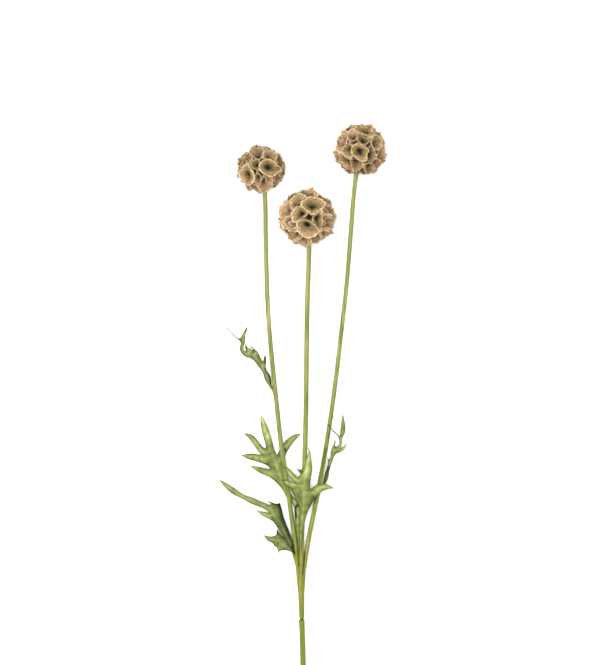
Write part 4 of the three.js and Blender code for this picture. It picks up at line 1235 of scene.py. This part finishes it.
def model_leaf(name, spine, lobes):
    """The sheet of a leaf, one layer thick, marked with its ribs, tips and cm along them."""
    select_only()
    bpy.ops.mesh.primitive_grid_add(x_subdivisions=2, y_subdivisions=len(spine) - 1, size=1)
    leaf = bpy.context.object
    leaf.name = name
    layers = ("rib", "tip", "along", "crease_vert")
    for layer in layers:
        leaf.data.attributes.new(layer, "FLOAT", "POINT")
    bpy.ops.object.mode_set(mode="EDIT")
    bpy.ops.mesh.select_mode(type="VERT")
    sheet = bmesh.from_edit_mesh(leaf.data)
    rib, tip, along, crease = (sheet.verts.layers.float[layer] for layer in layers)
    corners = sorted(sheet.verts, key=lambda vertex: (round(vertex.co.y, 4), vertex.co.x))
    strips = []
    for i, row in enumerate(spine):
        ahead = spine[min(i + 1, len(spine) - 1)]
        strips.append(across_row(row, spine[max(i - 1, 0)], ahead))
        for part, corner in enumerate(corners[3 * i:3 * i + 3]):
            corner.co = strips[i][part]
            corner[rib] = part == 1
            corner[tip] = i == len(spine) - 1
            corner[crease] = i in (0, len(spine) - 1)
            corner[along] = (Vector(row[:3]) - Vector(spine[0][:3])).length / MM_PER_CM
    for side, at, rows in lobes:
        edge = 0 if side == "left" else 2
        root = [strips[i][edge] for i in (at - 1, at, at + 1)]
        if side == "right":
            root.reverse()
        pick(sheet, [root[1]])
        for vertex in sheet.verts:
            if vertex.select:
                vertex[rib] = 1
        behind = root[1] / MM
        for i, row in enumerate(rows):
            ahead = rows[min(i + 1, len(rows) - 1)]
            laid = across_row(row, behind, ahead)
            pick(sheet, root)
            bmesh.update_edit_mesh(leaf.data)
            bpy.ops.mesh.extrude_region_move()
            sheet = bmesh.from_edit_mesh(leaf.data)
            rib, tip, along, crease = (sheet.verts.layers.float[layer] for layer in layers)
            drawn = [vertex for vertex in sheet.verts if vertex.select]
            for part in range(3):
                corner = min(drawn, key=lambda vertex: (vertex.co - root[part]).length_squared)
                drawn.remove(corner)
                corner.co = laid[part]
                corner[rib] = part == 1
                corner[tip] = corner[crease] = i == len(rows) - 1
                corner[along] += (Vector(row[:3]) - Vector(behind)).length / MM_PER_CM
            root = laid
            behind = row[:3]
    bmesh.update_edit_mesh(leaf.data)
    bpy.ops.mesh.select_all(action="SELECT")
    bpy.ops.mesh.remove_doubles(threshold=SAME_POINT)
    bpy.ops.object.mode_set(mode="OBJECT")
    return leaf


def finish_leaf(leaf):
    """Smooths the sheet, raises its ribs, ripples its edges and thickens it."""
    apply_modifier(leaf, "SUBSURF", levels=SMOOTHING, render_levels=SMOOTHING)
    normals = [vertex.normal.copy() for vertex in leaf.data.vertices]
    for vertex, normal, rib in zip(leaf.data.vertices, normals, leaf.data.attributes["rib"].data):
        ripple = noise.noise(vertex.co * 160) + 0.4 * noise.noise(vertex.co * 420)
        vertex.co += normal * (LEAF_RIPPLE * ripple * (1 - rib.value) + RIB_RISE * rib.value ** 8)
        vertex.co.z = max(vertex.co.z, LEAF_THICKNESS)
    apply_modifier(leaf, "SOLIDIFY", thickness=LEAF_THICKNESS, offset=0)
    leaf.data.materials.append(leaf_green)
    bpy.ops.object.shade_smooth_by_angle(angle=math.radians(50))


leaf_green = leaf_skin()
for name, rows in leaves.items():
    blade = model_leaf(f"blade_{name[-1]}", rows["spine"], rows["lobes"])
    finish_leaf(blade)
    brush(blade, "painted_shade_and_tone", leaf_shade[name])
    brush(blade, "painted_light", leaf_painted_light.get(name, []))
    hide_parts(name)
    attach(blade, "root")


# ---- Floor and light ----
# A plain pale floor under the spray, which is no part of it, and three large soft lamps above. The
# strongest hangs straight over the middle, so that the shadows stay faint.

LIT_SPOT = Vector((0, 0.1, 0))

floor_white = new_material("floor_white", 0.9)
shader = floor_white.node_tree.nodes["Principled BSDF"]
shader.inputs["Base Color"].default_value = (0.9, 0.9, 0.9, 1)
select_only()
bpy.ops.mesh.primitive_plane_add(size=8, location=(0, 0, 0))
floor = bpy.context.object
floor.name = "floor"
floor.data.materials.append(floor_white)

for name, place, size, power in (
    ("key_lamp", (-0.9, 0.9, 1.5), 1.6, 24),
    ("fill_lamp", (-0.7, -0.7, 1.4), 1.6, 9),
    ("top_lamp", (0, 0.1, 2.6), 1.4, 82),
):
    bpy.ops.object.light_add(type="AREA", location=place)
    lamp = bpy.context.object
    lamp.name = name
    lamp.data.size = size
    lamp.data.energy = power
    lamp.rotation_euler = (LIT_SPOT - lamp.location).to_track_quat("-Z", "Y").to_euler()

scene = bpy.context.scene
if scene.world is None:
    scene.world = bpy.data.worlds.new("studio")
scene.world.use_nodes = True
background = scene.world.node_tree.nodes["Background"]
background.inputs["Color"].default_value = (1, 1, 1, 1)
background.inputs["Strength"].default_value = 0.45
scene.view_settings.view_transform = "Standard"
